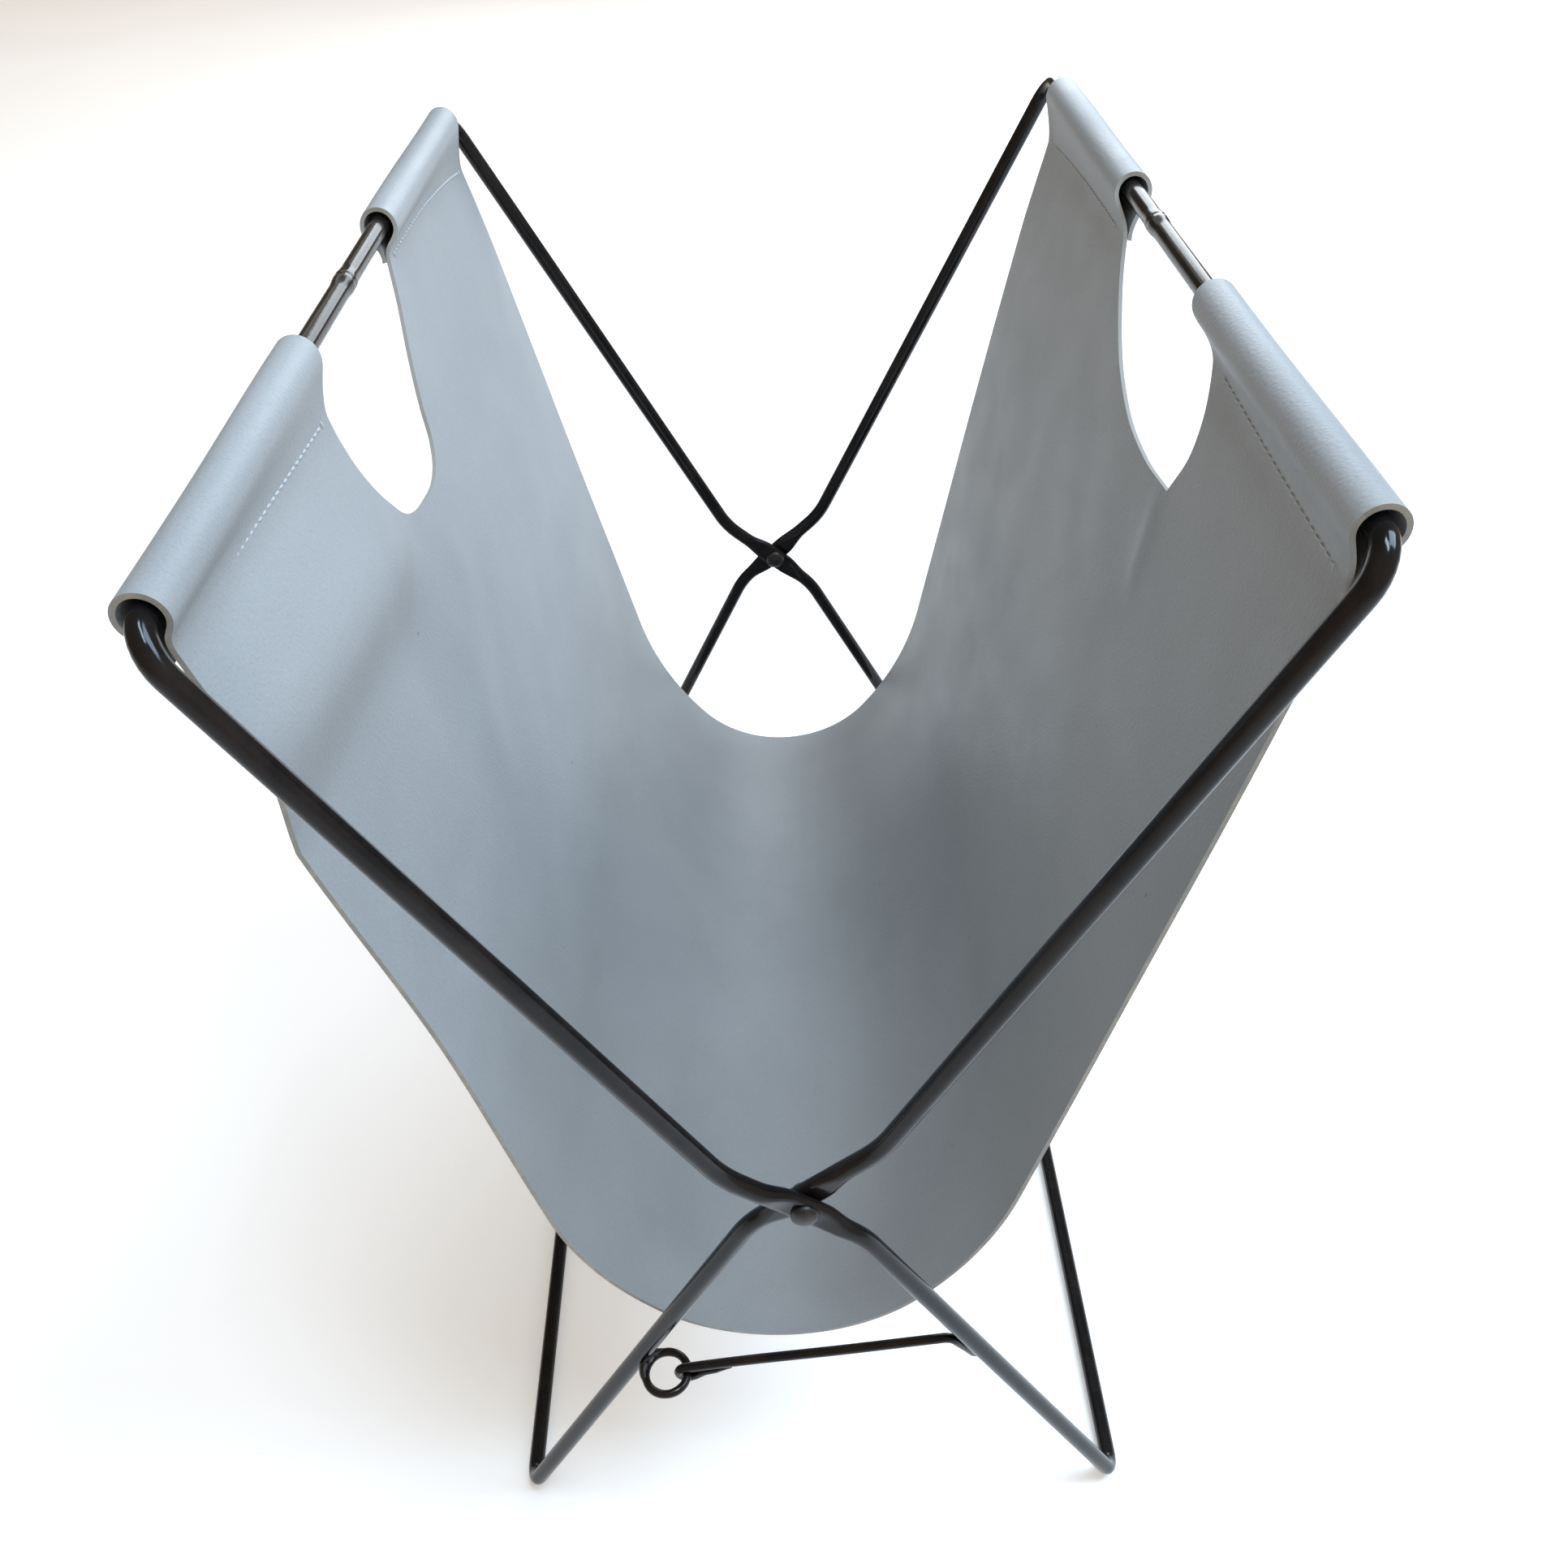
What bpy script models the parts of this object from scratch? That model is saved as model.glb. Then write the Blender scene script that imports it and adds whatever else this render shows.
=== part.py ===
"""Folding magazine rack: two rod loops crossed on two rivets, with a leather sling between their top rails.

Metres, +Z up. X runs across the rack, Y from front to back, and the origin is on the floor under its centre.
The loop that carries the left top rail lies half a rod in front of the other loop all the way round.
"""

from math import acos, atan2, cos, hypot, pi, radians, sin

import bmesh
import bpy
from mathutils import Matrix, Vector

# Driving dimensions.
ROD_RADIUS = 0.0030
GAP = 0.0003
DEPTH = 0.360
RAIL_X, RAIL_Z = 0.1195, 0.4085
FLOOR_RAIL_X = 0.1125
PIVOT_Z = 0.2002
UPPER_KINK = Vector((0.0225, 0.0, 0.0199))
LOWER_KINK = Vector((0.0170, 0.0, 0.0151))
TOP_BEND, KINK_BEND, FOOT_BEND = 0.010, 0.022, 0.007
FOOT_FLAT = 0.0002
WELD_SWELL, WELD_REACH = 0.28, 0.007

FLAT_HALF, FLAT_REACH, FLAT_THICK, FLAT_WIDEN = 0.006, 0.016, 0.0038, 0.50
RIVET_HOLE, RIVET_SHANK = 0.0017, 0.0014
RIVET_HEAD, RIVET_DOME = 0.0042, 0.0026
RIVET_TAIL, RIVET_TAIL_RISE = 0.0034, 0.0016

SHEET = 0.0016
SLING_HALF_WIDTH = 0.167
SLING_LOW_Z = 0.094
LOW_RADIUS, LOW_SWEEP = 0.054, radians(50)
SIDE_RADIUS = 0.138
BEND_GAP = 0.0012
SLEEVE_HOLE, SLEEVE_OUTER, SLEEVE_HANG = 0.0048, 0.0061, 0.0006
SEAM_DROP, FLAP_DROP = 0.013, 0.017
THREAD_RADIUS = 0.00035
SEAM_RUNS = {"front": (-0.161, -0.060), "rear": (0.050, 0.161)}

RING_RADIUS, RING_WIRE = 0.0072, 0.00125
RING_X, RING_Z = -0.0499, 0.1035
BRAZE_RADIUS, BRAZE_REACH = 0.0019, 0.0045
STAY_RADIUS = 0.0015
STAY_FOOT, STAY_FOOT_WRAP = 0.018, radians(65)
STAY_RIGHT_Z = 0.1192
STAY_BEND = 0.0035
HOOK_TAIL = 0.0075

# Derived places.
FLOOR_RAIL_Z = ROD_RADIUS - FOOT_FLAT
FRAME_SHIFT = ROD_RADIUS + GAP / 2
PIVOT = Vector((0.0, 0.0, PIVOT_Z))
SLEEVE_CENTRE_Z = RAIL_Z - SLEEVE_HANG

# Hand-holds: points (along Y, down the panel from the rail), the sharp ones marked True.
LEFT_HAND_HOLD = [
    (-0.0500, -0.012, True), (-0.0500, 0.004, False), (-0.0540, 0.022, False), (-0.0530, 0.037, False),
    (-0.0400, 0.0525, False), (-0.0200, 0.0618, False), (0.0010, 0.0628, False), (0.0100, 0.055, False),
    (0.0225, 0.0335, False), (0.0400, 0.0125, False), (0.0470, -0.002, False), (0.0470, -0.012, True),
]
RIGHT_HAND_HOLD = [
    (-0.050, -0.012, True), (-0.051, 0.001, False), (-0.066, 0.011, False), (-0.073, 0.029, False),
    (-0.067, 0.046, True), (-0.042, 0.048, False), (-0.012, 0.044, False), (0.015, 0.031, False),
    (0.038, 0.007, False), (0.042, -0.003, False), (0.042, -0.012, True),
]


def clear_scene():
    for obj in list(bpy.data.objects):
        bpy.data.objects.remove(obj, do_unlink=True)


def new_collection(name):
    collection = bpy.data.collections.new(name)
    bpy.context.scene.collection.children.link(collection)
    return collection


def material(name, colour, roughness, metallic=0.0):
    made = bpy.data.materials.new(name)
    made.use_nodes = True
    shader = made.node_tree.nodes["Principled BSDF"]
    shader.inputs["Base Color"].default_value = (*colour, 1.0)
    shader.inputs["Roughness"].default_value = roughness
    shader.inputs["Metallic"].default_value = metallic
    return made


def add_object(name, data, collection, look=None):
    obj = bpy.data.objects.new(name, data)
    collection.objects.link(obj)
    if look:
        data.materials.append(look)
    return obj


def tube(name, points, radius, collection, look=None, cyclic=False, swell=None, resolution=4):
    """A round bar along points, as a curve. swell gives each point's radius as a share of radius."""
    curve = bpy.data.curves.new(name, "CURVE")
    curve.dimensions = "3D"
    curve.bevel_depth = radius
    curve.bevel_resolution = resolution
    curve.use_fill_caps = not cyclic
    spline = curve.splines.new("POLY")
    spline.points.add(len(points) - 1)
    for index, point in enumerate(points):
        spline.points[index].co = (*point, 1.0)
        spline.points[index].radius = swell[index] if swell else 1.0
    spline.use_cyclic_u = cyclic
    return add_object(name, curve, collection, look)


def prism(name, outlines, half_length, collection, look=None):
    """Flat closed outlines, in the object's own XY plane, thickened along its Z. A later outline is a hole."""
    curve = bpy.data.curves.new(name, "CURVE")
    curve.dimensions = "2D"
    curve.fill_mode = "BOTH"
    curve.extrude = half_length
    for outline in outlines:
        spline = curve.splines.new("POLY")
        spline.points.add(len(outline) - 1)
        for index, (x, y) in enumerate(outline):
            spline.points[index].co = (x, y, 0.0, 1.0)
        spline.use_cyclic_u = True
    return add_object(name, curve, collection, look)


def as_mesh(obj):
    """The same object with its curve turned into one welded mesh."""
    bpy.context.view_layer.update()
    name, look = obj.name, obj.data.materials[:1]
    evaluated = obj.evaluated_get(bpy.context.evaluated_depsgraph_get())
    mesh = bpy.data.meshes.new_from_object(evaluated)
    collection, place = obj.users_collection[0], obj.matrix_world.copy()
    bpy.data.objects.remove(obj, do_unlink=True)
    welded = bmesh.new()
    welded.from_mesh(mesh)
    bmesh.ops.remove_doubles(welded, verts=welded.verts, dist=1e-6)
    bmesh.ops.recalc_face_normals(welded, faces=welded.faces)
    welded.to_mesh(mesh)
    welded.free()
    mesh.name = name
    mesh.materials.clear()
    for each in look:
        mesh.materials.append(each)
    made = bpy.data.objects.new(name, mesh)
    collection.objects.link(made)
    made.matrix_world = place
    return made


def shade_round(obj, crease=radians(40)):
    obj.data.shade_smooth()
    obj.data.set_sharp_from_angle(angle=crease)


def boolean(obj, other, operation):
    step = obj.modifiers.new(other.name, "BOOLEAN")
    step.operation = operation
    step.solver = "EXACT"
    step.object = other


def as_cutter(obj, collection):
    for each in obj.users_collection:
        each.objects.unlink(obj)
    collection.objects.link(obj)
    obj.hide_render = True
    obj.display_type = "WIRE"
    return obj


def cylinder_y(name, centre, radius, length, collection, sides=24):
    """A cutter along Y."""
    turn = Matrix.Translation(centre) @ Matrix.Rotation(pi / 2, 4, "X")
    bpy.ops.mesh.primitive_cylinder_add(vertices=sides, radius=radius, depth=length)
    obj = bpy.context.object
    obj.name = name
    obj.matrix_world = turn
    return as_cutter(obj, collection)


def arc_at(corner, before, after, radius, steps=6):
    """Points that round one corner of a path with an arc of the given radius."""
    back, ahead = (before - corner).normalized(), (after - corner).normalized()
    half = back.angle(ahead) / 2
    bisector = (back + ahead).normalized()
    centre = corner + bisector * (radius / sin(half))
    first = corner + back * (radius * cos(half) / sin(half)) - centre
    last = corner + ahead * (radius * cos(half) / sin(half)) - centre
    sweep = first.angle(last)
    return [
        centre + (first * sin(sweep * (1 - i / steps)) + last * sin(sweep * i / steps)) / sin(sweep)
        for i in range(steps + 1)
    ]


def frame_corners(side, y_shift):
    """The loop's corners from its top rail's front end, down the front, back along the floor and up the rear.

    side is -1 for the loop whose top rail is on the left, and its floor rail on the right.
    """
    corners = []
    for y, upwards in ((-DEPTH / 2, False), (DEPTH / 2, True)):
        place = Vector((0.0, y + y_shift, 0.0))
        run = [
            (place + Vector((side * RAIL_X, 0.0, RAIL_Z)), TOP_BEND),
            (place + PIVOT + Vector((side * UPPER_KINK.x, 0.0, UPPER_KINK.z)), KINK_BEND),
            (place + PIVOT - Vector((side * LOWER_KINK.x, 0.0, LOWER_KINK.z)), KINK_BEND),
            (place + Vector((-side * FLOOR_RAIL_X, 0.0, FLOOR_RAIL_Z)), FOOT_BEND),
        ]
        corners += run[::-1] if upwards else run
    return corners


def between(start, end, spacing):
    count = max(1, round((end - start).length / spacing))
    return [start.lerp(end, i / count) for i in range(1, count)]


def frame_path(side, y_shift):
    """The rod's centre line as a closed list of points, with each point's swelling."""
    corners = frame_corners(side, y_shift)
    path = []
    for index, (corner, radius) in enumerate(corners):
        arc = arc_at(corner, corners[index - 1][0], corners[(index + 1) % len(corners)][0], radius)
        on_jog = path and radius == KINK_BEND and corners[index - 1][1] == KINK_BEND
        if on_jog:
            path += between(path[-1], arc[0], 0.0022)
        path += arc
    middle = Vector((side * RAIL_X, y_shift, RAIL_Z))
    weld = [middle + Vector((0.0, WELD_REACH * (1 - i / 4), 0.0)) for i in range(9)]
    path += weld
    swell = [1.0] * len(path)
    for index, point in enumerate(weld):
        share = abs(point.y - middle.y) / WELD_REACH
        swell[len(path) - len(weld) + index] = 1.0 + WELD_SWELL * cos(share * pi / 2) ** 2
    return path, swell


def flatten_at_pivots(obj, side, y_shift):
    """Presses the round rod into a wider flat around each rivet, towards the other loop."""
    along = Vector((side * UPPER_KINK.x, 0.0, UPPER_KINK.z)).normalized()
    across = Vector((along.z, 0.0, -along.x))
    mate = -1.0 if side > 0 else 1.0
    for vertex in obj.data.vertices:
        y_middle = (DEPTH / 2 if vertex.co.y > 0 else -DEPTH / 2) + y_shift
        offset = vertex.co - Vector((0.0, y_middle, PIVOT_Z))
        run, wide = offset.dot(along), offset.dot(across)
        if hypot(run, wide) > FLAT_REACH + ROD_RADIUS or abs(run) > FLAT_REACH:
            continue
        share = min(1.0, max(0.0, (FLAT_REACH - abs(run)) / (FLAT_REACH - FLAT_HALF)))
        share = share * share * (3 - 2 * share)
        half = ROD_RADIUS - share * (ROD_RADIUS - FLAT_THICK / 2)
        deep = max(-half, min(half, offset.y)) + mate * (ROD_RADIUS - half)
        wide *= 1.0 + FLAT_WIDEN * share
        vertex.co = Vector((0.0, y_middle + deep, PIVOT_Z)) + along * run + across * wide


def make_frame(name, side, y_shift, looks, parts, cutters):
    path, swell = frame_path(side, y_shift)
    frame = as_mesh(tube(name, path, ROD_RADIUS, parts, looks["lacquer"], True, swell))
    flatten_at_pivots(frame, side, y_shift)
    for end, y in (("front", -DEPTH / 2), ("rear", DEPTH / 2)):
        hole = cylinder_y(f"{name}_{end}_hole", Vector((0, y, PIVOT_Z)), RIVET_HOLE, 0.02, cutters)
        boolean(frame, hole, "DIFFERENCE")
    bpy.ops.mesh.primitive_cube_add(size=1.0)
    below = bpy.context.object
    below.name = f"{name}_floor"
    below.scale = (0.4, 0.5, 0.02)
    below.location = (0.0, 0.0, -0.01)
    boolean(frame, as_cutter(below, cutters), "DIFFERENCE")
    shade_round(frame)
    return frame


def make_rivet(name, y, looks, parts):
    """A turned rivet along Y: domed head in front, lower head behind."""
    seat = FLAT_THICK + GAP / 2 + GAP
    profile = [(0.0, seat + RIVET_TAIL_RISE)]
    steps = 6
    for i in range(1, steps + 1):
        turn = i / steps * pi / 2
        profile.append((RIVET_TAIL * sin(turn), seat + RIVET_TAIL_RISE * cos(turn)))
    profile += [(RIVET_SHANK, seat), (RIVET_SHANK, -seat)]
    for i in range(steps + 1):
        turn = (1 - i / steps) * pi / 2
        profile.append((RIVET_HEAD * sin(turn), -seat - RIVET_DOME * cos(turn)))
    mesh = bpy.data.meshes.new(name)
    mesh.from_pydata([(x, 0.0, z) for x, z in profile], [(i, i + 1) for i in range(len(profile) - 1)], [])
    rivet = add_object(name, mesh, parts, looks["rivet"])
    turned = rivet.modifiers.new("turn", "SCREW")
    turned.axis = "Z"
    turned.steps = turned.render_steps = 24
    turned.use_merge_vertices = True
    turned.merge_threshold = 1e-5
    turned.use_smooth_shade = True
    rivet.matrix_world = Matrix.Translation((0.0, y, PIVOT_Z)) @ Matrix.Rotation(-pi / 2, 4, "X")
    return rivet


def sling_line():
    """The right half's centre line, as (x, z, slope angle), from the lowest point up to the rail."""
    low_centre = SLING_LOW_Z + LOW_RADIUS
    start = (LOW_RADIUS * sin(LOW_SWEEP), low_centre - LOW_RADIUS * cos(LOW_SWEEP))
    side_centre = (start[0] - SIDE_RADIUS * sin(LOW_SWEEP), start[1] + SIDE_RADIUS * cos(LOW_SWEEP))
    to_rail = (RAIL_X - side_centre[0], SLEEVE_CENTRE_Z - side_centre[1])
    end = pi / 2 + atan2(to_rail[1], to_rail[0]) - acos(SIDE_RADIUS / hypot(*to_rail))
    first = BEND_GAP / 2 / LOW_RADIUS
    line = []
    for i in range(9):
        turn = first + (LOW_SWEEP - first) * i / 8
        line.append((LOW_RADIUS * sin(turn), low_centre - LOW_RADIUS * cos(turn), turn))
    for i in range(1, 7):
        turn = LOW_SWEEP + (end - LOW_SWEEP) * i / 6
        line.append((side_centre[0] + SIDE_RADIUS * sin(turn), side_centre[1] - SIDE_RADIUS * cos(turn), turn))
    return line, end


def panel_outlines(side):
    """The panel's section in XZ, with the sleeve round the rail and the flap sewn to its outer face."""
    line, slope = sling_line()
    up, inward = Vector((cos(slope), sin(slope))), Vector((-sin(slope), cos(slope)))
    rail = Vector((RAIL_X, SLEEVE_CENTRE_Z))
    seam, flap = rail - up * SEAM_DROP, rail - up * FLAP_DROP
    inner = [(x - sin(turn) * SHEET / 2, z + cos(turn) * SHEET / 2) for x, z, turn in line]
    outer = [(x + sin(turn) * SHEET / 2, z - cos(turn) * SHEET / 2) for x, z, turn in line]
    dip, steps = radians(20), 14
    cap = []
    for i in range(steps + 1):
        turn = -dip + (pi + 2 * dip) * i / steps
        cap.append(rail + SLEEVE_OUTER * (inward * cos(turn) + up * sin(turn)))
    outside = [seam - inward * SHEET * 1.5, flap - inward * SHEET * 1.5, flap - inward * SHEET / 2]
    body = inner + [seam + inward * SHEET / 2] + cap + outside + outer[::-1]
    hole = [rail + SLEEVE_HOLE * Vector((cos(i * pi / 10), sin(i * pi / 10))) for i in range(20)]
    return [[(side * x, z) for x, z in ring] for ring in (body, hole)], slope


def hand_hold_cutter(name, points, side, slope, cutters):
    """A slab of the hand-hold's outline, standing across the panel below the rail."""
    curve = bpy.data.curves.new(name, "CURVE")
    curve.dimensions = "2D"
    curve.fill_mode = "BOTH"
    curve.extrude = 0.015
    curve.resolution_u = 5
    spline = curve.splines.new("BEZIER")
    spline.bezier_points.add(len(points) - 1)
    for knot, (y, drop, sharp) in zip(spline.bezier_points, points):
        knot.co = (y, -drop, 0.0)
        knot.handle_left_type = knot.handle_right_type = "VECTOR" if sharp else "AUTO"
    spline.use_cyclic_u = True
    cutter = add_object(name, curve, cutters)
    up = Vector((side * cos(slope), 0.0, sin(slope)))
    along = Vector((0.0, 1.0, 0.0))
    cutter.matrix_world = Matrix.Translation((side * RAIL_X, 0.0, SLEEVE_CENTRE_Z)) @ Matrix(
        (along, up, along.cross(up))
    ).transposed().to_4x4()
    return as_cutter(as_mesh(cutter), cutters)


def make_panel(name, side, points, looks, parts, cutters):
    outlines, slope = panel_outlines(side)
    panel = prism(name, outlines, SLING_HALF_WIDTH, parts, looks["leather"])
    panel.matrix_world = Matrix.Rotation(pi / 2, 4, "X")
    panel = as_mesh(panel)
    boolean(panel, hand_hold_cutter(f"{name}_hand_hold", points, side, slope, cutters), "DIFFERENCE")
    shade_round(panel, radians(30))
    return panel


def make_seams(label, side, looks, parts):
    """Two runs of sewing thread below the rail, one each side of the hand-hold."""
    _, slope = sling_line()
    up, inward = Vector((cos(slope), sin(slope))), Vector((-sin(slope), cos(slope)))
    middle = Vector((RAIL_X, SLEEVE_CENTRE_Z)) - up * SEAM_DROP
    middle += inward * (SHEET / 2 + GAP + THREAD_RADIUS)
    made = []
    for run, (start, end) in SEAM_RUNS.items():
        points = [Vector((side * middle.x, y, middle.y)) for y in (start, end)]
        made.append(tube(f"{label}_{run}_seam", points, THREAD_RADIUS, parts, looks["thread"], resolution=2))
    return made


def make_ring(looks, parts, cutters):
    """The hook's ring, lying level beside the left front leg, with its braze towards the leg."""
    place = Vector((RING_X, -DEPTH / 2 - FRAME_SHIFT, RING_Z))
    bpy.ops.mesh.primitive_torus_add(
        major_radius=RING_RADIUS, minor_radius=RING_WIRE, major_segments=28, minor_segments=10, location=place
    )
    ring = bpy.context.object
    ring.name = "hook_ring"
    for each in ring.users_collection:
        each.objects.unlink(ring)
    parts.objects.link(ring)
    ring.data.materials.append(looks["lacquer"])
    leg_top = Vector((-LOWER_KINK.x, -DEPTH / 2 + FRAME_SHIFT, PIVOT_Z - LOWER_KINK.z))
    leg_foot = Vector((-FLOOR_RAIL_X, -DEPTH / 2 + FRAME_SHIFT, FLOOR_RAIL_Z))
    leg = (leg_foot - leg_top).normalized()
    nearest = leg_top + leg * ((RING_Z - leg_top.z) / leg.z)
    to_leg = (nearest - place).normalized()
    middle = place + to_leg * (RING_RADIUS + RING_WIRE)
    braze = [middle + leg * (BRAZE_REACH * (i / 6 - 1)) for i in range(13)]
    swell = [0.35 + 0.65 * abs(cos((i / 6 - 1) * pi / 2)) ** 0.8 for i in range(13)]
    fillet = as_mesh(tube("braze_fillet", braze, BRAZE_RADIUS, cutters, None, False, swell, 3))
    clearance = as_mesh(tube("leg_clearance", [leg_top, leg_foot], ROD_RADIUS + GAP, cutters))
    boolean(ring, as_cutter(fillet, cutters), "UNION")
    boolean(ring, as_cutter(clearance, cutters), "DIFFERENCE")
    shade_round(ring)
    return ring


def make_stay(looks, parts):
    """The thin stay: its open hook round the ring, its rod, and its foot bent down along the leg.

    The hook's tail falls away at the slope on which the ring swings out of it as the rack folds.
    """
    y = -DEPTH / 2 - FRAME_SHIFT
    leg_top = Vector((LOWER_KINK.x, y, PIVOT_Z - LOWER_KINK.z))
    leg = (Vector((FLOOR_RAIL_X, y, FLOOR_RAIL_Z)) - leg_top).normalized()
    inward = Vector((leg.z, 0.0, -leg.x))
    stand_off = ROD_RADIUS + STAY_RADIUS + GAP
    bend_z = STAY_RIGHT_Z - inward.z * stand_off
    on_leg = leg_top + leg * ((bend_z - leg_top.z) / leg.z)
    bend = on_leg + inward * stand_off
    band = Vector((RING_X + RING_RADIUS, y, RING_Z))
    loop = RING_WIRE + GAP + STAY_RADIUS
    rise = atan2(bend.z - band.z - loop, bend.x - band.x)
    swing = atan2(-band.x, PIVOT_Z - band.z)
    first, last = pi / 2 + rise, 3 * pi / 2 - swing
    turns = [first + (last - first) * i / 8 for i in range(9)]
    hook = [band + loop * Vector((cos(turn), 0.0, sin(turn))) for turn in turns]
    wire = [hook[-1] + HOOK_TAIL * Vector((cos(swing), 0.0, -sin(swing)))] + hook[::-1]
    wire += arc_at(bend, wire[-1], bend + leg * STAY_FOOT, STAY_BEND)
    start = (wire[-1] - bend).length
    for i in range(1, 7):
        turn = STAY_FOOT_WRAP * i / 6
        out = inward * cos(turn) + Vector((0.0, sin(turn), 0.0))
        wire.append(on_leg + leg * (start + (STAY_FOOT - start) * i / 6) + out * stand_off)
    return tube("stay", wire, STAY_RADIUS, parts, looks["lacquer"], resolution=3)


def axis_empty(name, place, collection, parent=None):
    empty = bpy.data.objects.new(name, None)
    collection.objects.link(empty)
    empty.empty_display_size = 0.03
    empty.matrix_world = Matrix.Translation(place)
    if parent:
        hold(empty, parent)
    return empty


def hold(obj, parent):
    bpy.context.view_layer.update()
    place = obj.matrix_world.copy()
    obj.parent = parent
    obj.matrix_parent_inverse = parent.matrix_world.inverted()
    obj.matrix_world = place


def main():
    clear_scene()
    parts = new_collection("magazine_rack")
    cutters = new_collection("cutters")
    looks = {
        "lacquer": material("black_lacquer", (0.022, 0.021, 0.022), 0.28, 0.2),
        "rivet": material("blackened_rivet", (0.030, 0.028, 0.028), 0.35, 0.5),
        "leather": material("grey_leather", (0.30, 0.35, 0.39), 0.55),
        "thread": material("grey_thread", (0.42, 0.48, 0.52), 0.8),
    }
    left_frame = make_frame("left_rail_frame", -1, -FRAME_SHIFT, looks, parts, cutters)
    right_frame = make_frame("right_rail_frame", 1, FRAME_SHIFT, looks, parts, cutters)
    make_rivet("front_rivet", -DEPTH / 2, looks, parts)
    make_rivet("rear_rivet", DEPTH / 2, looks, parts)
    ring = make_ring(looks, parts, cutters)
    stay = make_stay(looks, parts)
    left_panel = make_panel("left_sling_panel", -1, LEFT_HAND_HOLD, looks, parts, cutters)
    right_panel = make_panel("right_sling_panel", 1, RIGHT_HAND_HOLD, looks, parts, cutters)

    fold = axis_empty("fold_axis", PIVOT, parts, left_frame)
    sleeve = axis_empty("left_sleeve_axis", Vector((-RAIL_X, 0.0, RAIL_Z)), parts, left_frame)
    bottom = axis_empty("sling_bend_axis", Vector((0.0, 0.0, SLING_LOW_Z)), parts, sleeve)
    for obj, parent in ((right_frame, fold), (ring, fold), (stay, left_frame)):
        hold(obj, parent)
    for obj in (left_panel, *make_seams("left", -1, looks, parts)):
        hold(obj, sleeve)
    for obj in (right_panel, *make_seams("right", 1, looks, parts)):
        hold(obj, bottom)


main()
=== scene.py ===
"""The looks of the folding magazine rack: lacquered rod, a sewn leather sling, the floor, light and camera.

Metres, +Z up, in the CAD's frame: X across the rack, Y from front to back, the origin on the floor.
"""

import random
from math import acos, atan2, cos, hypot, pi, radians, sin, sqrt

import bmesh
import bpy
from mathutils import Matrix, Vector


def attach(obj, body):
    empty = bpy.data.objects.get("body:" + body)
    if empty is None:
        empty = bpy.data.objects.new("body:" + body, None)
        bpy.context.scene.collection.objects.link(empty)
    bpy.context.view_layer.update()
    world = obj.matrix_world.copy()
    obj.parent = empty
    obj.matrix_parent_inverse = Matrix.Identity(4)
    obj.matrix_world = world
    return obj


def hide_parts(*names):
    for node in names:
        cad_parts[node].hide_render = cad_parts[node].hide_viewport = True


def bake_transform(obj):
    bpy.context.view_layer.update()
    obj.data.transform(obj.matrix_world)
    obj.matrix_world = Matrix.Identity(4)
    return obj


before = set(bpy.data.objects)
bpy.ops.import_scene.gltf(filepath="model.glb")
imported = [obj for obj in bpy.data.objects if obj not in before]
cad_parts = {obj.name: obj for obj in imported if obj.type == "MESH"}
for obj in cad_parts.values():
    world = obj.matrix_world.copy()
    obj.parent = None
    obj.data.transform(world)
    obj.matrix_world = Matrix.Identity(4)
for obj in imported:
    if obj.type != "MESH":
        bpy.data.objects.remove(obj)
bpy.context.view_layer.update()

# The rod frames, as the CAD has them. GAP is the CAD's clearance between neighbouring parts.
ROD_RADIUS = 0.0030
GAP = 0.0003
DEPTH = 0.360
RAIL_X, RAIL_Z = 0.1195, 0.4085
FLOOR_RAIL_X = 0.1125
FLOOR_RAIL_Z = ROD_RADIUS - 0.0002
PIVOT_Z = 0.2002
UPPER_KINK = Vector((0.0225, 0.0, 0.0199))
LOWER_KINK = Vector((0.0170, 0.0, 0.0151))
TOP_BEND, KINK_BEND, FOOT_BEND = 0.010, 0.036, 0.007
FRAME_SHIFT = ROD_RADIUS + GAP / 2
# Each pivot is flattened over FLAT_HALF either side and eases back to round rod at FLAT_REACH.
FLAT_HALF, FLAT_REACH, FLAT_THICK, FLAT_WIDEN = 0.0055, 0.018, 0.0038, 0.55
ROD_STEP, JOG_STEP = 0.02, 0.0012
PIVOT = Vector((0.0, 0.0, PIVOT_Z))
FRONT_Y = -DEPTH / 2 - FRAME_SHIFT

# The butt weld in each top rail: half its length, the reach of its own points, where the bare rod's
# points begin, and its swelling and groove as parts of the rod's radius.
WELD_HALF, WELD_RUN, WELD_CLEAR = 0.0081, 0.0080, 0.0090
WELD_SWELL, WELD_GROOVE = 0.13, 0.05
LEFT_WELD_Y, RIGHT_WELD_Y = -0.002, 0.010

# The rivets: radius, foot and dome of head and tail; the shank, the rim turned under, and the seat's sink.
HEAD_RADIUS, HEAD_FOOT, HEAD_RISE = 0.0043, 0.0004, 0.0022
TAIL_RADIUS, TAIL_FOOT, TAIL_RISE = 0.0033, 0.0003, 0.0012
SHANK_RADIUS, RIM, SINK = 0.0013, 0.0003, 0.0001

# The sling: the sheet's thickness, half its width, its lowest line, and the radii of its bends.
SHEET = 0.0013
HALF_WIDTH = 0.167
LOW_Z = 0.094
LOW_RADIUS, LOW_SWEEP = 0.054, radians(50)
SIDE_RADIUS = 0.138
# The sleeves: how far below the rail's middle the panel and the sleeve are centred, the radius of the
# sleeve's middle, how far it wraps below level, and how far down the seam and the flap's end lie.
CAD_HANG = 0.0006
SLEEVE_MID, SLEEVE_DROP, SLEEVE_DIP = 0.0052, 0.0006, radians(24)
SEAM_DROP, FLAP_DROP = 0.013, 0.0153
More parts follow.
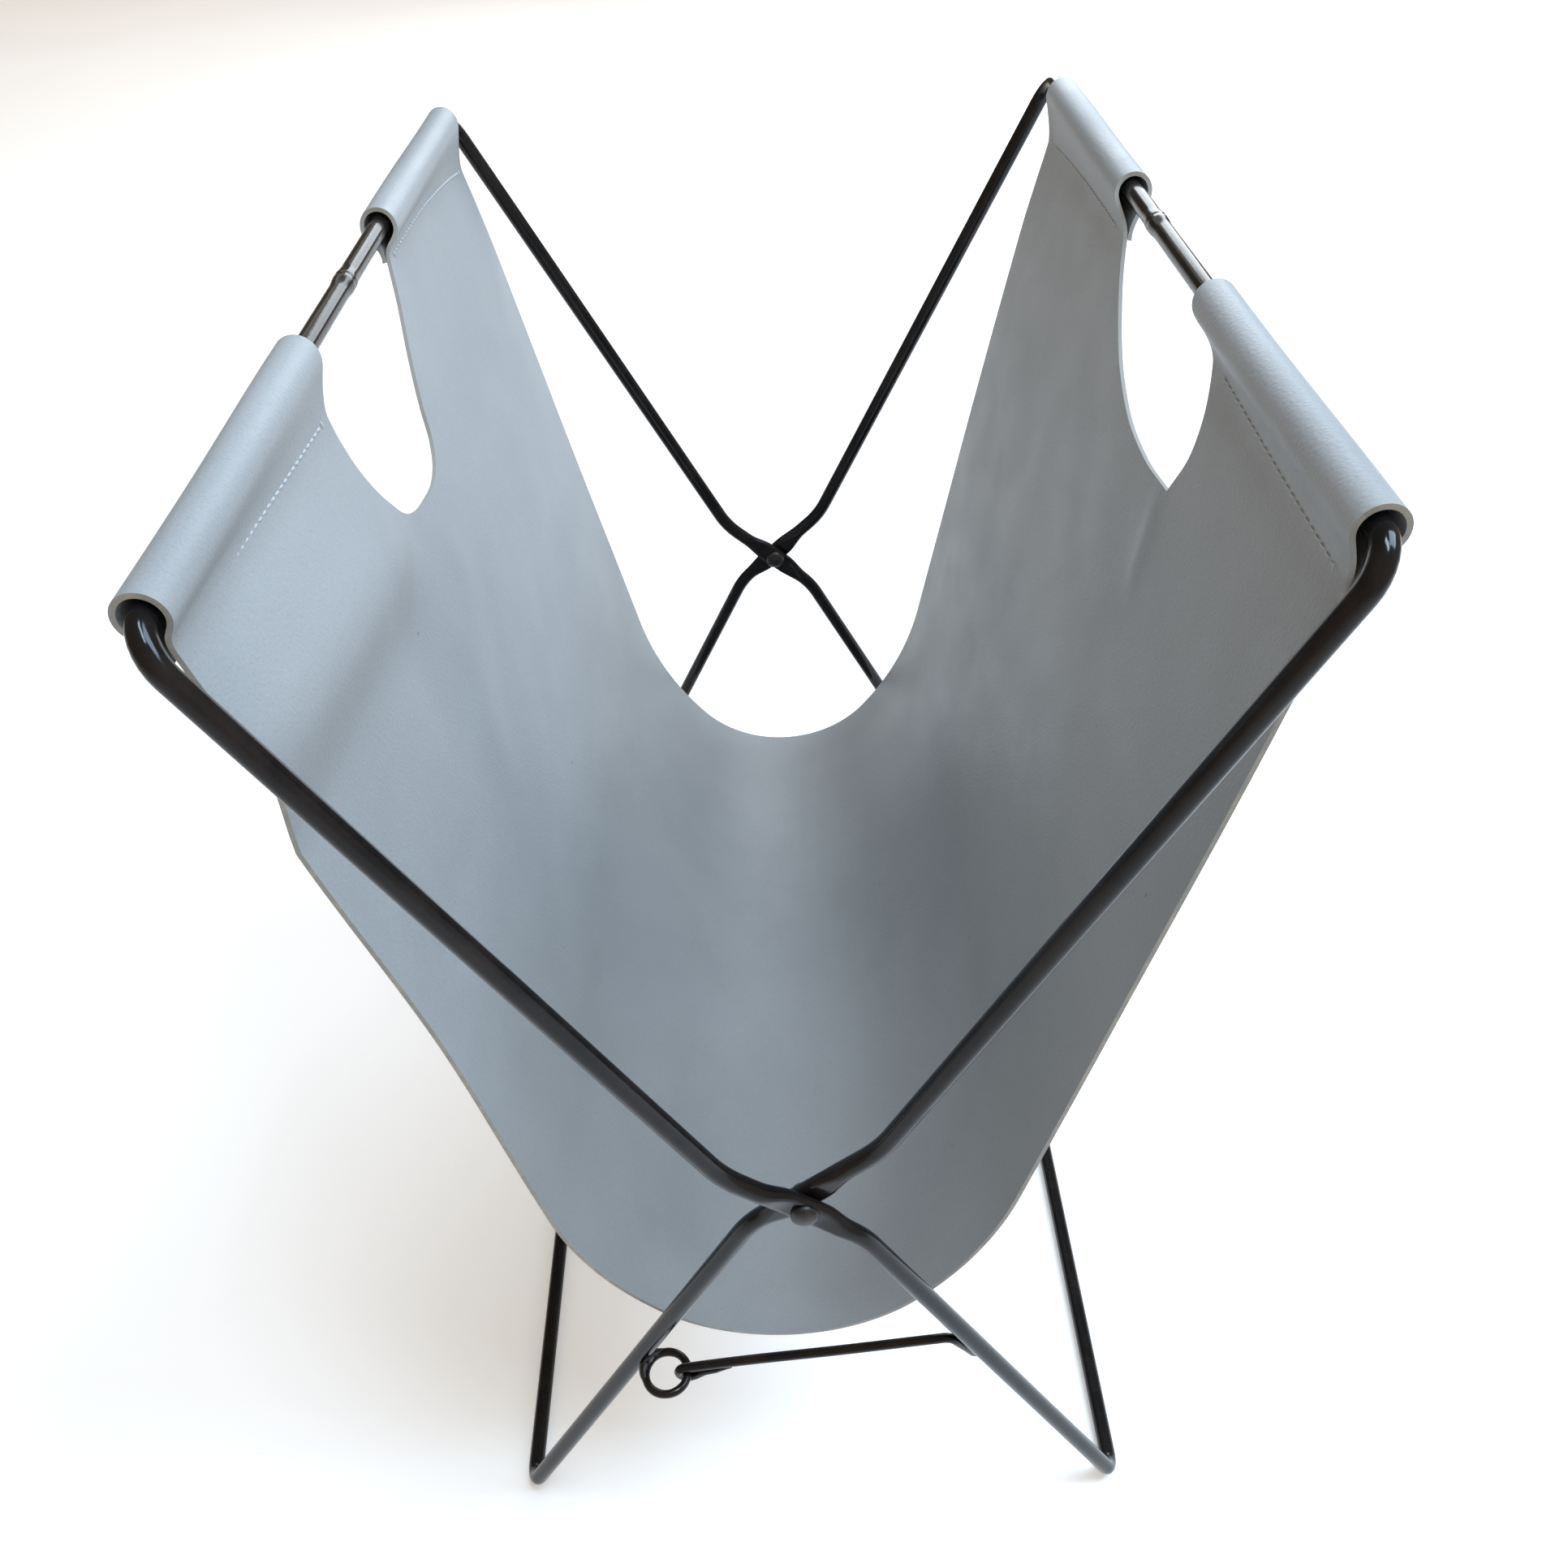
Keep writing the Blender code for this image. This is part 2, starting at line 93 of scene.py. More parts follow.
# How far a seam draws the sheet's edges in, and the groove under its thread.
SEAM_DRAW, DRAW_REACH = 0.0016, 0.012
GROOVE_DEPTH, GROOVE_HALF, SEWN_EASE = 0.00022, 0.0024, 0.004
SHEET_STEP = 0.0035
# Where the sheet's material slots stand in its list.
GRAIN_SIDE, FLESH_SIDE, CUT_EDGE = 0, 1, 2

# The hand-holds: points (along Y, down the panel from the rail), the sharp ones marked True.
LEFT_HAND_HOLD = [
    (-0.0535, -0.014, True), (-0.0545, -0.003, False), (-0.0560, 0.008, False), (-0.0570, 0.022, False),
    (-0.0555, 0.036, False), (-0.0480, 0.0480, False), (-0.0330, 0.0590, False), (-0.0160, 0.0634, False),
    (0.0010, 0.0630, False), (0.0095, 0.0570, False), (0.0145, 0.0465, False), (0.0228, 0.0335, False),
    (0.0380, 0.0150, False), (0.0475, -0.002, False), (0.0475, -0.014, True),
]
RIGHT_HAND_HOLD = [
    (-0.050, -0.014, True), (-0.051, 0.001, False), (-0.066, 0.011, False), (-0.073, 0.029, False),
    (-0.067, 0.046, True), (-0.042, 0.048, False), (-0.012, 0.044, False), (0.015, 0.031, False),
    (0.038, 0.007, False), (0.042, -0.003, False), (0.042, -0.014, True),
]

# Fittings: the ring, the stay with its hook and foot, and the brazes.
RING_RADIUS, RING_WIRE = 0.0072, 0.0014
RING_X, RING_Z = -0.0499, 0.1035
STAY_RADIUS, STAY_BEND, STAY_FOOT, STAY_WRAP = 0.0016, 0.0040, 0.0190, radians(20)
STAY_RIGHT_Z, HOOK_TAIL = 0.1192, 0.0150
TAIL_CLOSE, TAIL_LIFT = 0.0031, 0.0010
BRAZE_REACH, BRAZE_RADIUS, BRAZE_SWEEP = 0.0062, 0.0022, radians(48)
STAY_BRAZE_RADIUS = 0.0014

# The stitches: their spacing, length and radius, the end stitch's length, how far the rows are set
# back, and how far a stitch arches.
STITCH_PITCH, STITCH_LENGTH, STITCH_RADIUS = 0.0034, 0.0025, 0.00034
END_STITCH, STITCH_SINK, STITCH_ARCH = 0.0028, 0.00032, 0.00022

rng = random.Random(11)


# Node helpers.
class Nodes:
    """A material's node tree, with short calls for the nodes used here."""

    def __init__(self, name, vector="Object"):
        self.material = bpy.data.materials.new(name)
        self.material.use_nodes = True
        self.tree = self.material.node_tree
        self.shader = self.tree.nodes["Principled BSDF"]
        source = self.add("ShaderNodeTexCoord")
        self.vector = source.outputs[vector]

    def add(self, kind, **values):
        node = self.tree.nodes.new(kind)
        for key, value in values.items():
            setattr(node, key, value)
        return node

    def link(self, source, target):
        self.tree.links.new(source, target)

    def set(self, **values):
        for key, value in values.items():
            self.shader.inputs[key.replace("_", " ")].default_value = value

    def noise(self, scale, detail=3.0, roughness=0.55, distortion=0.0, stretch=None):
        node = self.add("ShaderNodeTexNoise")
        node.inputs["Scale"].default_value = scale
        node.inputs["Detail"].default_value = detail
        node.inputs["Roughness"].default_value = roughness
        node.inputs["Distortion"].default_value = distortion
        source = self.vector
        if stretch:
            mapped = self.add("ShaderNodeMapping")
            mapped.inputs["Scale"].default_value = stretch
            self.link(source, mapped.inputs["Vector"])
            source = mapped.outputs["Vector"]
        self.link(source, node.inputs["Vector"])
        return node.outputs["Fac"]

    def voronoi(self, scale, feature="F1"):
        node = self.add("ShaderNodeTexVoronoi", feature=feature)
        node.inputs["Scale"].default_value = scale
        self.link(self.vector, node.inputs["Vector"])
        return node.outputs["Distance"]

    def ramp(self, value, stops, interpolation="EASE"):
        node = self.add("ShaderNodeValToRGB")
        node.color_ramp.interpolation = interpolation
        elements = node.color_ramp.elements
        while len(elements) < len(stops):
            elements.new(0.5)
        for element, (place, colour) in zip(elements, stops):
            element.position = place
            channels = colour if hasattr(colour, "__len__") else (colour, colour, colour)
            element.color = (*channels, 1.0)
        self.link(value, node.inputs["Fac"])
        return node.outputs["Color"]

    def span(self, value, low, high, from_low=0.0, from_high=1.0):
        node = self.add("ShaderNodeMapRange")
        node.inputs["From Min"].default_value = from_low
        node.inputs["From Max"].default_value = from_high
        node.inputs["To Min"].default_value = low
        node.inputs["To Max"].default_value = high
        self.link(value, node.inputs["Value"])
        return node.outputs["Result"]

    def math(self, operation, first, second=None):
        node = self.add("ShaderNodeMath", operation=operation)
        for socket, value in zip(node.inputs, (first, second)):
            if value is None:
                continue
            if isinstance(value, (int, float)):
                socket.default_value = value
            else:
                self.link(value, socket)
        return node.outputs["Value"]

    def mix(self, factor, first, second, blend="MIX"):
        node = self.add("ShaderNodeMix", data_type="RGBA", blend_type=blend)
        # Sockets 6 and 7 are the colours A and B.
        ends = ((node.inputs["Factor"], factor), (node.inputs[6], first), (node.inputs[7], second))
        for socket, value in ends:
            if isinstance(value, (int, float)):
                socket.default_value = value
            elif isinstance(value, tuple):
                socket.default_value = (*value, 1.0)
            else:
                self.link(value, socket)
        return node.outputs[2]

    def bump(self, heights):
        """heights are (height, distance in metres, strength), the finest last."""
        normal = None
        for height, distance, strength in heights:
            node = self.add("ShaderNodeBump")
            node.inputs["Distance"].default_value = distance
            node.inputs["Strength"].default_value = strength
            self.link(height, node.inputs["Height"])
            if normal:
                self.link(normal, node.inputs["Normal"])
            normal = node.outputs["Normal"]
        self.link(normal, self.shader.inputs["Normal"])


def leather_look(name):
    """Smooth corrected-grain leather, pale blue-grey. UV is the cut's own flat place, in metres."""
    look = Nodes(name, "UV")
    broad = look.noise(7.0, 3.0, 0.5, 0.4)
    cloudy = look.noise(42.0, 4.0, 0.6)
    fine = look.noise(900.0, 3.0, 0.6)
    pores = look.voronoi(1450.0)
    cells = look.voronoi(620.0, "DISTANCE_TO_EDGE")
    low, high = (0.268, 0.278, 0.281), (0.324, 0.333, 0.335)
    colour = look.ramp(broad, [(0.30, low), (0.72, high)])
    colour = look.mix(look.span(cloudy, 0.0, 0.35, 0.35, 0.75), colour, (0.336, 0.344, 0.345))
    pore_shade = look.ramp(pores, [(0.10, 0.80), (0.42, 1.0)])
    colour = look.mix(0.55, colour, pore_shade, "MULTIPLY")
    specks = look.ramp(look.voronoi(38.0), [(0.016, 0.45), (0.030, 1.0)], "LINEAR")
    colour = look.mix(0.8, colour, specks, "MULTIPLY")
    rubbing = look.noise(26.0, 6.0, 0.72, 1.2, stretch=(1.0, 0.35, 1.0))
    scuffs = look.ramp(rubbing, [(0.715, 0.0), (0.80, 1.0)])
    colour = look.mix(look.math("MULTIPLY", scuffs, 0.30), colour, (0.50, 0.53, 0.55))
    look.link(colour, look.shader.inputs["Base Color"])
    rough = look.span(cloudy, 0.40, 0.56, 0.25, 0.8)
    rough = look.math("ADD", rough, look.span(fine, -0.05, 0.06))
    look.link(rough, look.shader.inputs["Roughness"])
    look.set(Specular_IOR_Level=0.28, Sheen_Weight=0.04, Sheen_Roughness=0.5)
    look.bump([
        (look.noise(11.0, 3.0, 0.5), 0.0016, 0.30),
        (look.span(cells, 0.0, 1.0, 0.0, 0.35), 0.00010, 0.45),
        (fine, 0.00008, 0.35),
    ])
    return look.material


def edge_look():
    """The cut edge of the leather: its tan core under grey edge paint that has worn off in places."""
    look = Nodes("leather_cut_edge", "UV")
    wear = look.noise(170.0, 4.0, 0.65)
    fibre = look.noise(2600.0, 3.0, 0.7)
    colour = look.ramp(wear, [(0.36, (0.300, 0.305, 0.290)), (0.66, (0.400, 0.370, 0.320))])
    colour = look.mix(look.span(fibre, 0.0, 0.5, 0.3, 0.8), colour, (0.26, 0.255, 0.235))
    look.link(colour, look.shader.inputs["Base Color"])
    look.link(look.span(fibre, 0.65, 0.92), look.shader.inputs["Roughness"])
    look.set(Specular_IOR_Level=0.3)
    look.bump([(fibre, 0.00015, 0.6)])
    return look.material


def suede_look():
    """The flesh side of the leather, outside and under the sling: napped and a little paler."""
    look = Nodes("leather_flesh_side", "UV")
    nap = look.noise(1500.0, 4.0, 0.7)
    cloud = look.noise(24.0, 5.0, 0.62, 0.5)
    colour = look.ramp(cloud, [(0.32, (0.225, 0.245, 0.258)), (0.70, (0.300, 0.320, 0.332))])
    colour = look.mix(look.span(nap, 0.0, 0.45, 0.3, 0.75), colour, (0.36, 0.38, 0.39))
    look.link(colour, look.shader.inputs["Base Color"])
    look.link(look.span(cloud, 0.72, 0.88), look.shader.inputs["Roughness"])
    look.set(Specular_IOR_Level=0.25, Sheen_Weight=0.25, Sheen_Roughness=0.45)
    look.bump([(cloud, 0.0012, 0.25), (nap, 0.00016, 0.55)])
    return look.material


def lacquer_look(name, warm=0.0):
    """Black stove lacquer on steel rod: glossy, faintly orange-peeled, rubbed and dusty in places.

    warm adds brown where it is rubbed thin.
    """
    look = Nodes(name)
    peel = look.noise(520.0, 2.0, 0.5)
    rub = look.noise(60.0, 5.0, 0.7, 0.6)
    dust = look.noise(1500.0, 3.0, 0.65)
    low, high = (0.0050, 0.0048, 0.0052), (0.011 + 0.010 * warm, 0.0095 + 0.003 * warm, 0.0095)
    colour = look.ramp(rub, [(0.35, low), (0.72, high)])
    bare = look.ramp(look.noise(95.0, 7.0, 0.78, 0.8), [(0.735, 0.0), (0.775, 1.0)])
    colour = look.mix(look.math("MULTIPLY", bare, 0.55), colour, (0.050, 0.032, 0.024))
    colour = look.mix(look.span(dust, 0.0, 0.07, 0.58, 0.85), colour, (0.10, 0.10, 0.10))
    look.link(colour, look.shader.inputs["Base Color"])
    rough = look.math("ADD", look.span(rub, 0.09, 0.20, 0.3, 0.75), look.math("MULTIPLY", bare, 0.25))
    look.link(rough, look.shader.inputs["Roughness"])
    look.set(Specular_IOR_Level=0.26)
    look.bump([(rub, 0.00012, 0.20), (peel, 0.00005, 0.25)])
    return look.material


def thread_look():
    """Pale waxed thread with its twist."""
    look = Nodes("waxed_thread")
    twist = look.noise(2400.0, 2.0, 0.6)
    colour = look.ramp(twist, [(0.35, (0.42, 0.45, 0.46)), (0.68, (0.54, 0.57, 0.58))])
    look.link(colour, look.shader.inputs["Base Color"])
    look.link(look.span(twist, 0.55, 0.8), look.shader.inputs["Roughness"])
    look.set(Sheen_Weight=0.2)
    look.bump([(twist, 0.0001, 0.7)])
    return look.material


def braze_look():
    """Braze metal under the same black lacquer, lumpy and a little brown."""
    look = Nodes("lacquered_braze")
    lump = look.noise(420.0, 4.0, 0.6, 0.3)
    pit = look.voronoi(900.0)
    colour = look.ramp(lump, [(0.35, (0.007, 0.0060, 0.0058)), (0.72, (0.024, 0.018, 0.015))])
    look.link(colour, look.shader.inputs["Base Color"])
    look.link(look.span(lump, 0.30, 0.52), look.shader.inputs["Roughness"])
    look.set(Specular_IOR_Level=0.40)
    look.bump([(lump, 0.0005, 0.55), (pit, 0.00012, 0.35)])
    return look.material


LOOKS = {
    "leather": leather_look("leather_grain_side"),
    "edge": edge_look(),
    "suede": suede_look(),
    "lacquer": lacquer_look("black_lacquer_rod", 0.3),
    "wire": lacquer_look("black_lacquer_wire", 1.0),
    "thread": thread_look(),
    "braze": braze_look(),
}


# Shape helpers.
def smooth_step(value):
    """0 up to 0 and 1 from 1, with an even ease between."""
    value = min(1.0, max(0.0, value))
    return value * value * (3 - 2 * value)


def add_mesh(name, mesh, *looks):
    """A new object in the scene from mesh, with these looks as its material slots."""
    obj = bpy.data.objects.new(name, mesh)
    bpy.context.scene.collection.objects.link(obj)
    for each in looks:
        mesh.materials.append(LOOKS[each])
    return obj


def tube_mesh(name, points, radii, sides=20, cyclic=False, look="lacquer", up=None):
    """A round bar along points, one radius for each, whose sections turn as little as they can."""
    mesh = bpy.data.meshes.new(name)
    built = bmesh.new()
    count = len(points)
    up = up or Vector((0.0, 0.0, 1.0))
    rings, normal = [], None
    for i, point in enumerate(points):
        ahead = points[(i + 1) % count] if cyclic or i < count - 1 else point
        back = points[i - 1] if cyclic or i > 0 else point
        along = (ahead - back).normalized()
        if normal is None:
            normal = up if abs(along.dot(up)) < 0.9 else Vector((0.0, 1.0, 0.0))
        normal = (normal - along * normal.dot(along)).normalized()
        side = along.cross(normal).normalized()
        ring = []
        for k in range(sides):
            turn = 2 * pi * k / sides
            offset = side * (cos(turn) * radii[i]) + normal * (sin(turn) * radii[i])
            ring.append(built.verts.new(point + offset))
        rings.append(ring)
    if cyclic:
        # The last section may come back turned: the closing join starts at the nearest corner.
        first, last = rings[0], rings[-1]
        twist = min(range(sides), key=lambda k: (first[k].co - last[0].co).length)
        rings.append(first[twist:] + first[:twist])
    for near, far in zip(rings, rings[1:]):
        for k in range(sides):
            built.faces.new((near[k], near[(k + 1) % sides], far[(k + 1) % sides], far[k]))
    if not cyclic:
        for ring, flip in ((rings[0], False), (rings[-1], True)):
            built.faces.new(ring if flip else ring[::-1])
    bmesh.ops.recalc_face_normals(built, faces=built.faces)
    for face in built.faces:
        face.smooth = len(face.verts) == 4
    built.to_mesh(mesh)
    built.free()
    return add_mesh(name, mesh, look)


def arc_at(corner, before, after, radius, steps=8):
    """The arc that rounds the corner between the lines to before and after."""
    back, ahead = (before - corner).normalized(), (after - corner).normalized()
    half = back.angle(ahead) / 2
    bisector = (back + ahead).normalized()
    centre = corner + bisector * (radius / sin(half))
    first = corner + back * (radius * cos(half) / sin(half)) - centre
    last = corner + ahead * (radius * cos(half) / sin(half)) - centre
    sweep = first.angle(last)
    return [
        centre + (first * sin(sweep * (1 - i / steps)) + last * sin(sweep * i / steps)) / sin(sweep)
        for i in range(steps + 1)
    ]


def between(start, end, spacing):
    """Even points between start and end, without the two ends."""
    count = max(1, round((end - start).length / spacing))
    return [start.lerp(end, i / count) for i in range(1, count)]


# The rod frames.
def frame_corners(side, y_shift):
    """One loop's corners and bend radii, from its front top corner by way of the floor to its rear one."""
    corners = []
    for y, upwards in ((-DEPTH / 2, False), (DEPTH / 2, True)):
        place = Vector((0.0, y + y_shift, 0.0))
        run = [
            (place + Vector((side * RAIL_X, 0.0, RAIL_Z)), TOP_BEND),
            (place + PIVOT + Vector((side * UPPER_KINK.x, 0.0, UPPER_KINK.z)), KINK_BEND),
            (place + PIVOT - Vector((side * LOWER_KINK.x, 0.0, LOWER_KINK.z)), KINK_BEND),
            (place + Vector((-side * FLOOR_RAIL_X, 0.0, FLOOR_RAIL_Z)), FOOT_BEND),
        ]
        corners += run[::-1] if upwards else run
    return corners


def frame_path(side, y_shift):
    """The middle line of one loop, open at the top rail that closes it."""
    corners = frame_corners(side, y_shift)
    path = []
    for index, (corner, radius) in enumerate(corners):
        arc = arc_at(corner, corners[index - 1][0], corners[(index + 1) % len(corners)][0], radius)
        if path:
            on_jog = radius == KINK_BEND and corners[index - 1][1] == KINK_BEND
            path += between(path[-1], arc[0], JOG_STEP if on_jog else ROD_STEP)
        path += arc
    return path


def make_frame(name, side, y_shift, weld_y):
    """One closed rod loop, with the butt weld in its top rail and the flattened places at its pivots."""
    path = frame_path(side, y_shift)
    bare = between(path[-1], path[0], ROD_STEP)
    rail = [p for p in bare if abs(p.y - weld_y) > WELD_CLEAR]
    weld = [Vector((side * RAIL_X, weld_y + WELD_RUN * (1 - i / 12), RAIL_Z)) for i in range(25)]
    path += sorted(rail + weld, key=lambda p: -p.y)
    along = Vector((side * UPPER_KINK.x, 0.0, UPPER_KINK.z)).normalized()
    radii = []
    for point in path:
        radius = ROD_RADIUS
        if point.z > RAIL_Z - 1e-6 and abs(point.y - weld_y) < WELD_HALF:
            share = (point.y - weld_y) / WELD_HALF
            bead = cos(share * pi / 2) ** 2
            radius *= 1.0 + WELD_SWELL * bead - WELD_GROOVE * max(0.0, 1 - abs(share) * 7)
        radii.append(radius)
    obj = tube_mesh(name, path, radii, 24, True, "lacquer")
    # The other loop lies behind the left one and in front of the right one.
    mate = -1.0 if side > 0 else 1.0
    across = Vector((along.z, 0.0, -along.x))
    for vertex in obj.data.vertices:
        middle_y = (DEPTH / 2 if vertex.co.y > 0 else -DEPTH / 2) + y_shift
        offset = vertex.co - Vector((0.0, middle_y, PIVOT_Z))
        run, wide = offset.dot(along), offset.dot(across)
        if hypot(run, wide) > FLAT_REACH + ROD_RADIUS or abs(run) > FLAT_REACH:
            continue
        share = smooth_step((FLAT_REACH - abs(run)) / (FLAT_REACH - FLAT_HALF))
        half = ROD_RADIUS - share * (ROD_RADIUS - FLAT_THICK / 2)
        deep = min(half, max(-half, offset.y))
        deep += mate * (ROD_RADIUS - half)
        wide *= 1.0 + FLAT_WIDEN * share
        vertex.co = Vector((0.0, middle_y + deep, PIVOT_Z)) + along * run + across * wide
    obj.data.set_sharp_from_angle(angle=radians(50))
    return obj


left_frame = make_frame("left_rail_rod", -1, -FRAME_SHIFT, LEFT_WELD_Y)
right_frame = make_frame("right_rail_rod", 1, FRAME_SHIFT, RIGHT_WELD_Y)
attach(left_frame, "left_frame")
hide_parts("left_rail_frame")
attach(right_frame, "right_frame")
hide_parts("right_rail_frame")


# The rivets.
def make_rivet(name, y, node):
    """A hand-set rivet: a domed head in front with a rolled foot, and a flatter peened tail behind."""
    seat = FLAT_THICK + GAP / 2
    profile = [(0.0, -seat - HEAD_FOOT - HEAD_RISE)]
    for i in range(1, 11):
        turn = i / 10 * pi / 2
        profile.append((HEAD_RADIUS * sin(turn), -seat - HEAD_FOOT - HEAD_RISE * cos(turn)))
    profile += [(HEAD_RADIUS, -seat - SINK), (HEAD_RADIUS - RIM, -seat + SINK)]
    profile += [(SHANK_RADIUS, -seat + SINK), (SHANK_RADIUS, seat - SINK)]
    profile += [(TAIL_RADIUS - RIM, seat - SINK), (TAIL_RADIUS - SINK / 2, seat + SINK * 2)]
    for i in range(1, 8):
        turn = (1 - i / 8) * pi / 2
        profile.append((TAIL_RADIUS * sin(turn), seat + TAIL_FOOT + TAIL_RISE * cos(turn)))
    profile.append((0.0, seat + TAIL_FOOT + TAIL_RISE + SINK / 2))
    built = bmesh.new()
    sides = 36
    rings = []
    for radius, depth in profile:
        if radius == 0.0:
            rings.append([built.verts.new((0.0, depth, 0.0))])
            continue
        ring = []
        for k in range(sides):
            turn = 2 * pi * k / sides
            wobble = 1 + 0.018 * sin(3 * turn + depth * 900) + 0.012 * sin(5 * turn + 1.3)
            ring.append(built.verts.new((radius * wobble * cos(turn), depth, radius * wobble * sin(turn))))
        rings.append(ring)
    for near, far in zip(rings, rings[1:]):
        for k in range(sides):
            following = (k + 1) % sides
            if len(near) == 1:
                built.faces.new((near[0], far[following], far[k]))
            elif len(far) == 1:
                built.faces.new((near[k], near[following], far[0]))
            else:
                built.faces.new((near[k], near[following], far[following], far[k]))
    bmesh.ops.recalc_face_normals(built, faces=built.faces)
    for face in built.faces:
        face.smooth = True
    mesh = bpy.data.meshes.new(name)
    built.to_mesh(mesh)
    built.free()
    obj = add_mesh(name, mesh, "braze")
    mesh.set_sharp_from_angle(angle=radians(48))
    obj.location = (0.0, y, PIVOT_Z)
    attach(obj, "left_frame")
    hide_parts(node)


make_rivet("front_rivet_head", -DEPTH / 2, "front_rivet")
make_rivet("rear_rivet_head", DEPTH / 2, "rear_rivet")


# The ring, its braze, and the stay.
def make_ring():
    """The ring on the left front leg, with the fillet of braze that holds it."""
    place = Vector((RING_X, FRONT_Y, RING_Z))
    steps = 56
    turns = [2 * pi * i / steps for i in range(steps)]
    points = [place + RING_RADIUS * Vector((cos(turn), sin(turn), 0.0)) for turn in turns]
    radii = [RING_WIRE * (1 + 0.03 * sin(5.0 * turn)) for turn in turns]
    ring = tube_mesh("stay_ring", points, radii, 18, True, "wire")
    leg_y = -DEPTH / 2 + FRAME_SHIFT
    leg_top = Vector((-LOWER_KINK.x, leg_y, PIVOT_Z - LOWER_KINK.z))
    leg_foot = Vector((-FLOOR_RAIL_X, leg_y, FLOOR_RAIL_Z))
    leg = (leg_foot - leg_top).normalized()
    nearest = leg_top + leg * ((RING_Z - leg_top.z) / leg.z)
    to_leg = (nearest - place).normalized()
    touch = place + to_leg * (RING_RADIUS + RING_WIRE * 0.6)
    # The fillet: a saddle of braze that runs down the leg and thins out along the ring.
    points, radii = [], []
    for i in range(25):
        run = i / 12 - 1
        points.append(touch + leg * (BRAZE_REACH * run) + to_leg * (0.0006 + 0.0012 * run * run))
        radii.append(BRAZE_RADIUS * max(0.12, cos(run * pi / 2)) ** 0.7 + 0.00015 * sin(7 * run))
    along_leg = tube_mesh("ring_braze_leg", points, radii, 16, False, "braze", up=to_leg)
    spread, radii = [], []
    centre_turn = atan2(to_leg.y, to_leg.x)
    for i in range(21):
        run = i / 10 - 1
        turn = centre_turn + run * BRAZE_SWEEP
        reach = RING_RADIUS + 0.0009 * (1 - run * run)
        spread.append(place + reach * Vector((cos(turn), sin(turn), 0.0)))
        radii.append(RING_WIRE * (0.96 + 0.45 * (1 - run * run) ** 1.5))
    along_ring = tube_mesh("ring_braze_saddle", spread, radii, 16, False, "braze")
    for each in (ring, along_leg, along_ring):
        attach(each, "right_frame")
    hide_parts("hook_ring")


def make_stay():
    """The stay: a hook round the ring's wire, a long run across, and a foot brazed along the right leg."""
    leg_top = Vector((LOWER_KINK.x, FRONT_Y, PIVOT_Z - LOWER_KINK.z))
    leg = (Vector((FLOOR_RAIL_X, FRONT_Y, FLOOR_RAIL_Z)) - leg_top).normalized()
    inward = Vector((leg.z, 0.0, -leg.x))
    stand_off = ROD_RADIUS + STAY_RADIUS - 0.0002
    cad_off = ROD_RADIUS + STAY_RADIUS + GAP
    bend_z = STAY_RIGHT_Z - inward.z * cad_off
    on_leg = leg_top + leg * ((bend_z - leg_top.z) / leg.z)
    bend = on_leg + inward * cad_off
    band = Vector((RING_X + RING_RADIUS, FRONT_Y, RING_Z))
    loop = RING_WIRE + 0.0001 + STAY_RADIUS
    rise = atan2(bend.z - band.z - loop, bend.x - band.x)
    first, last = pi / 2 + rise, 3 * pi / 2 + rise + radians(4)
    turns = [first + (last - first) * i / 18 for i in range(19)]
    hook = [band + loop * Vector((cos(turn), 0.0, sin(turn))) for turn in turns]
    way = Vector((cos(rise), 0.0, sin(rise)))
    lift = Vector((-sin(rise), 0.0, cos(rise)))
    # The hook's tail closes up to the wire above it and runs along it.
    tail = []
    for i in range(1, 9):
        run = i / 8
        close = TAIL_CLOSE * smooth_step(run / 0.45) + TAIL_LIFT * smooth_step(run * 1.6 - 0.6)
        tail.append(hook[-1] + way * (HOOK_TAIL * run) + lift * close)
    wire = tail[::-1] + hook[::-1]
    radii = [STAY_RADIUS * (0.45 + 0.55 * min(1.0, (i + 0.4) / 3.5)) for i in range(8)]
    radii += [STAY_RADIUS] * len(hook)
    arc = arc_at(bend, wire[-1], bend + leg * STAY_FOOT, STAY_BEND)
    straight = between(wire[-1], arc[0], 0.006)
    # The wire isn't quite straight: it was bent by hand.
    for i, point in enumerate(straight):
        run = (i + 1) / (len(straight) + 1)
        point.z += 0.0006 * sin(run * pi * 2.0) * (1 - run)
    wire += straight + arc
    radii += [STAY_RADIUS] * (len(straight) + len(arc))
    # The foot runs down the leg and wraps a little round it.
    start = (arc[-1] - bend).length
    for i in range(1, 13):
        run = i / 12
        turn = STAY_WRAP * run
        out = inward * cos(turn) + Vector((0.0, sin(turn), 0.0))
        off = cad_off + (stand_off - cad_off) * min(1.0, run * 2)
        wire.append(on_leg + leg * (start + (STAY_FOOT - start) * run) + out * off)
        radii.append(STAY_RADIUS * (1.0 if run < 0.8 else 1.0 - 0.55 * (run - 0.8) / 0.2))
    stay = tube_mesh("stay_wire", wire, radii, 16, False, "wire")
    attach(stay, "left_frame")
    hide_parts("stay")
    # The braze that holds the stay's foot on the leg.
    points, radii = [], []
    for i in range(21):
        run = i / 20
        turn = STAY_WRAP * (0.1 + 0.75 * run)
        out = inward * cos(turn) + Vector((0.0, sin(turn), 0.0))
        down = start + (STAY_FOOT - start) * (0.15 + 0.95 * run)
        points.append(on_leg + leg * down + out * (ROD_RADIUS + 0.0002))
        radii.append(STAY_BRAZE_RADIUS * max(0.1, sin(run * pi)) ** 0.6)
    braze = tube_mesh("stay_braze", points, radii, 14, False, "braze")
    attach(braze, "left_frame")


make_ring()
make_stay()


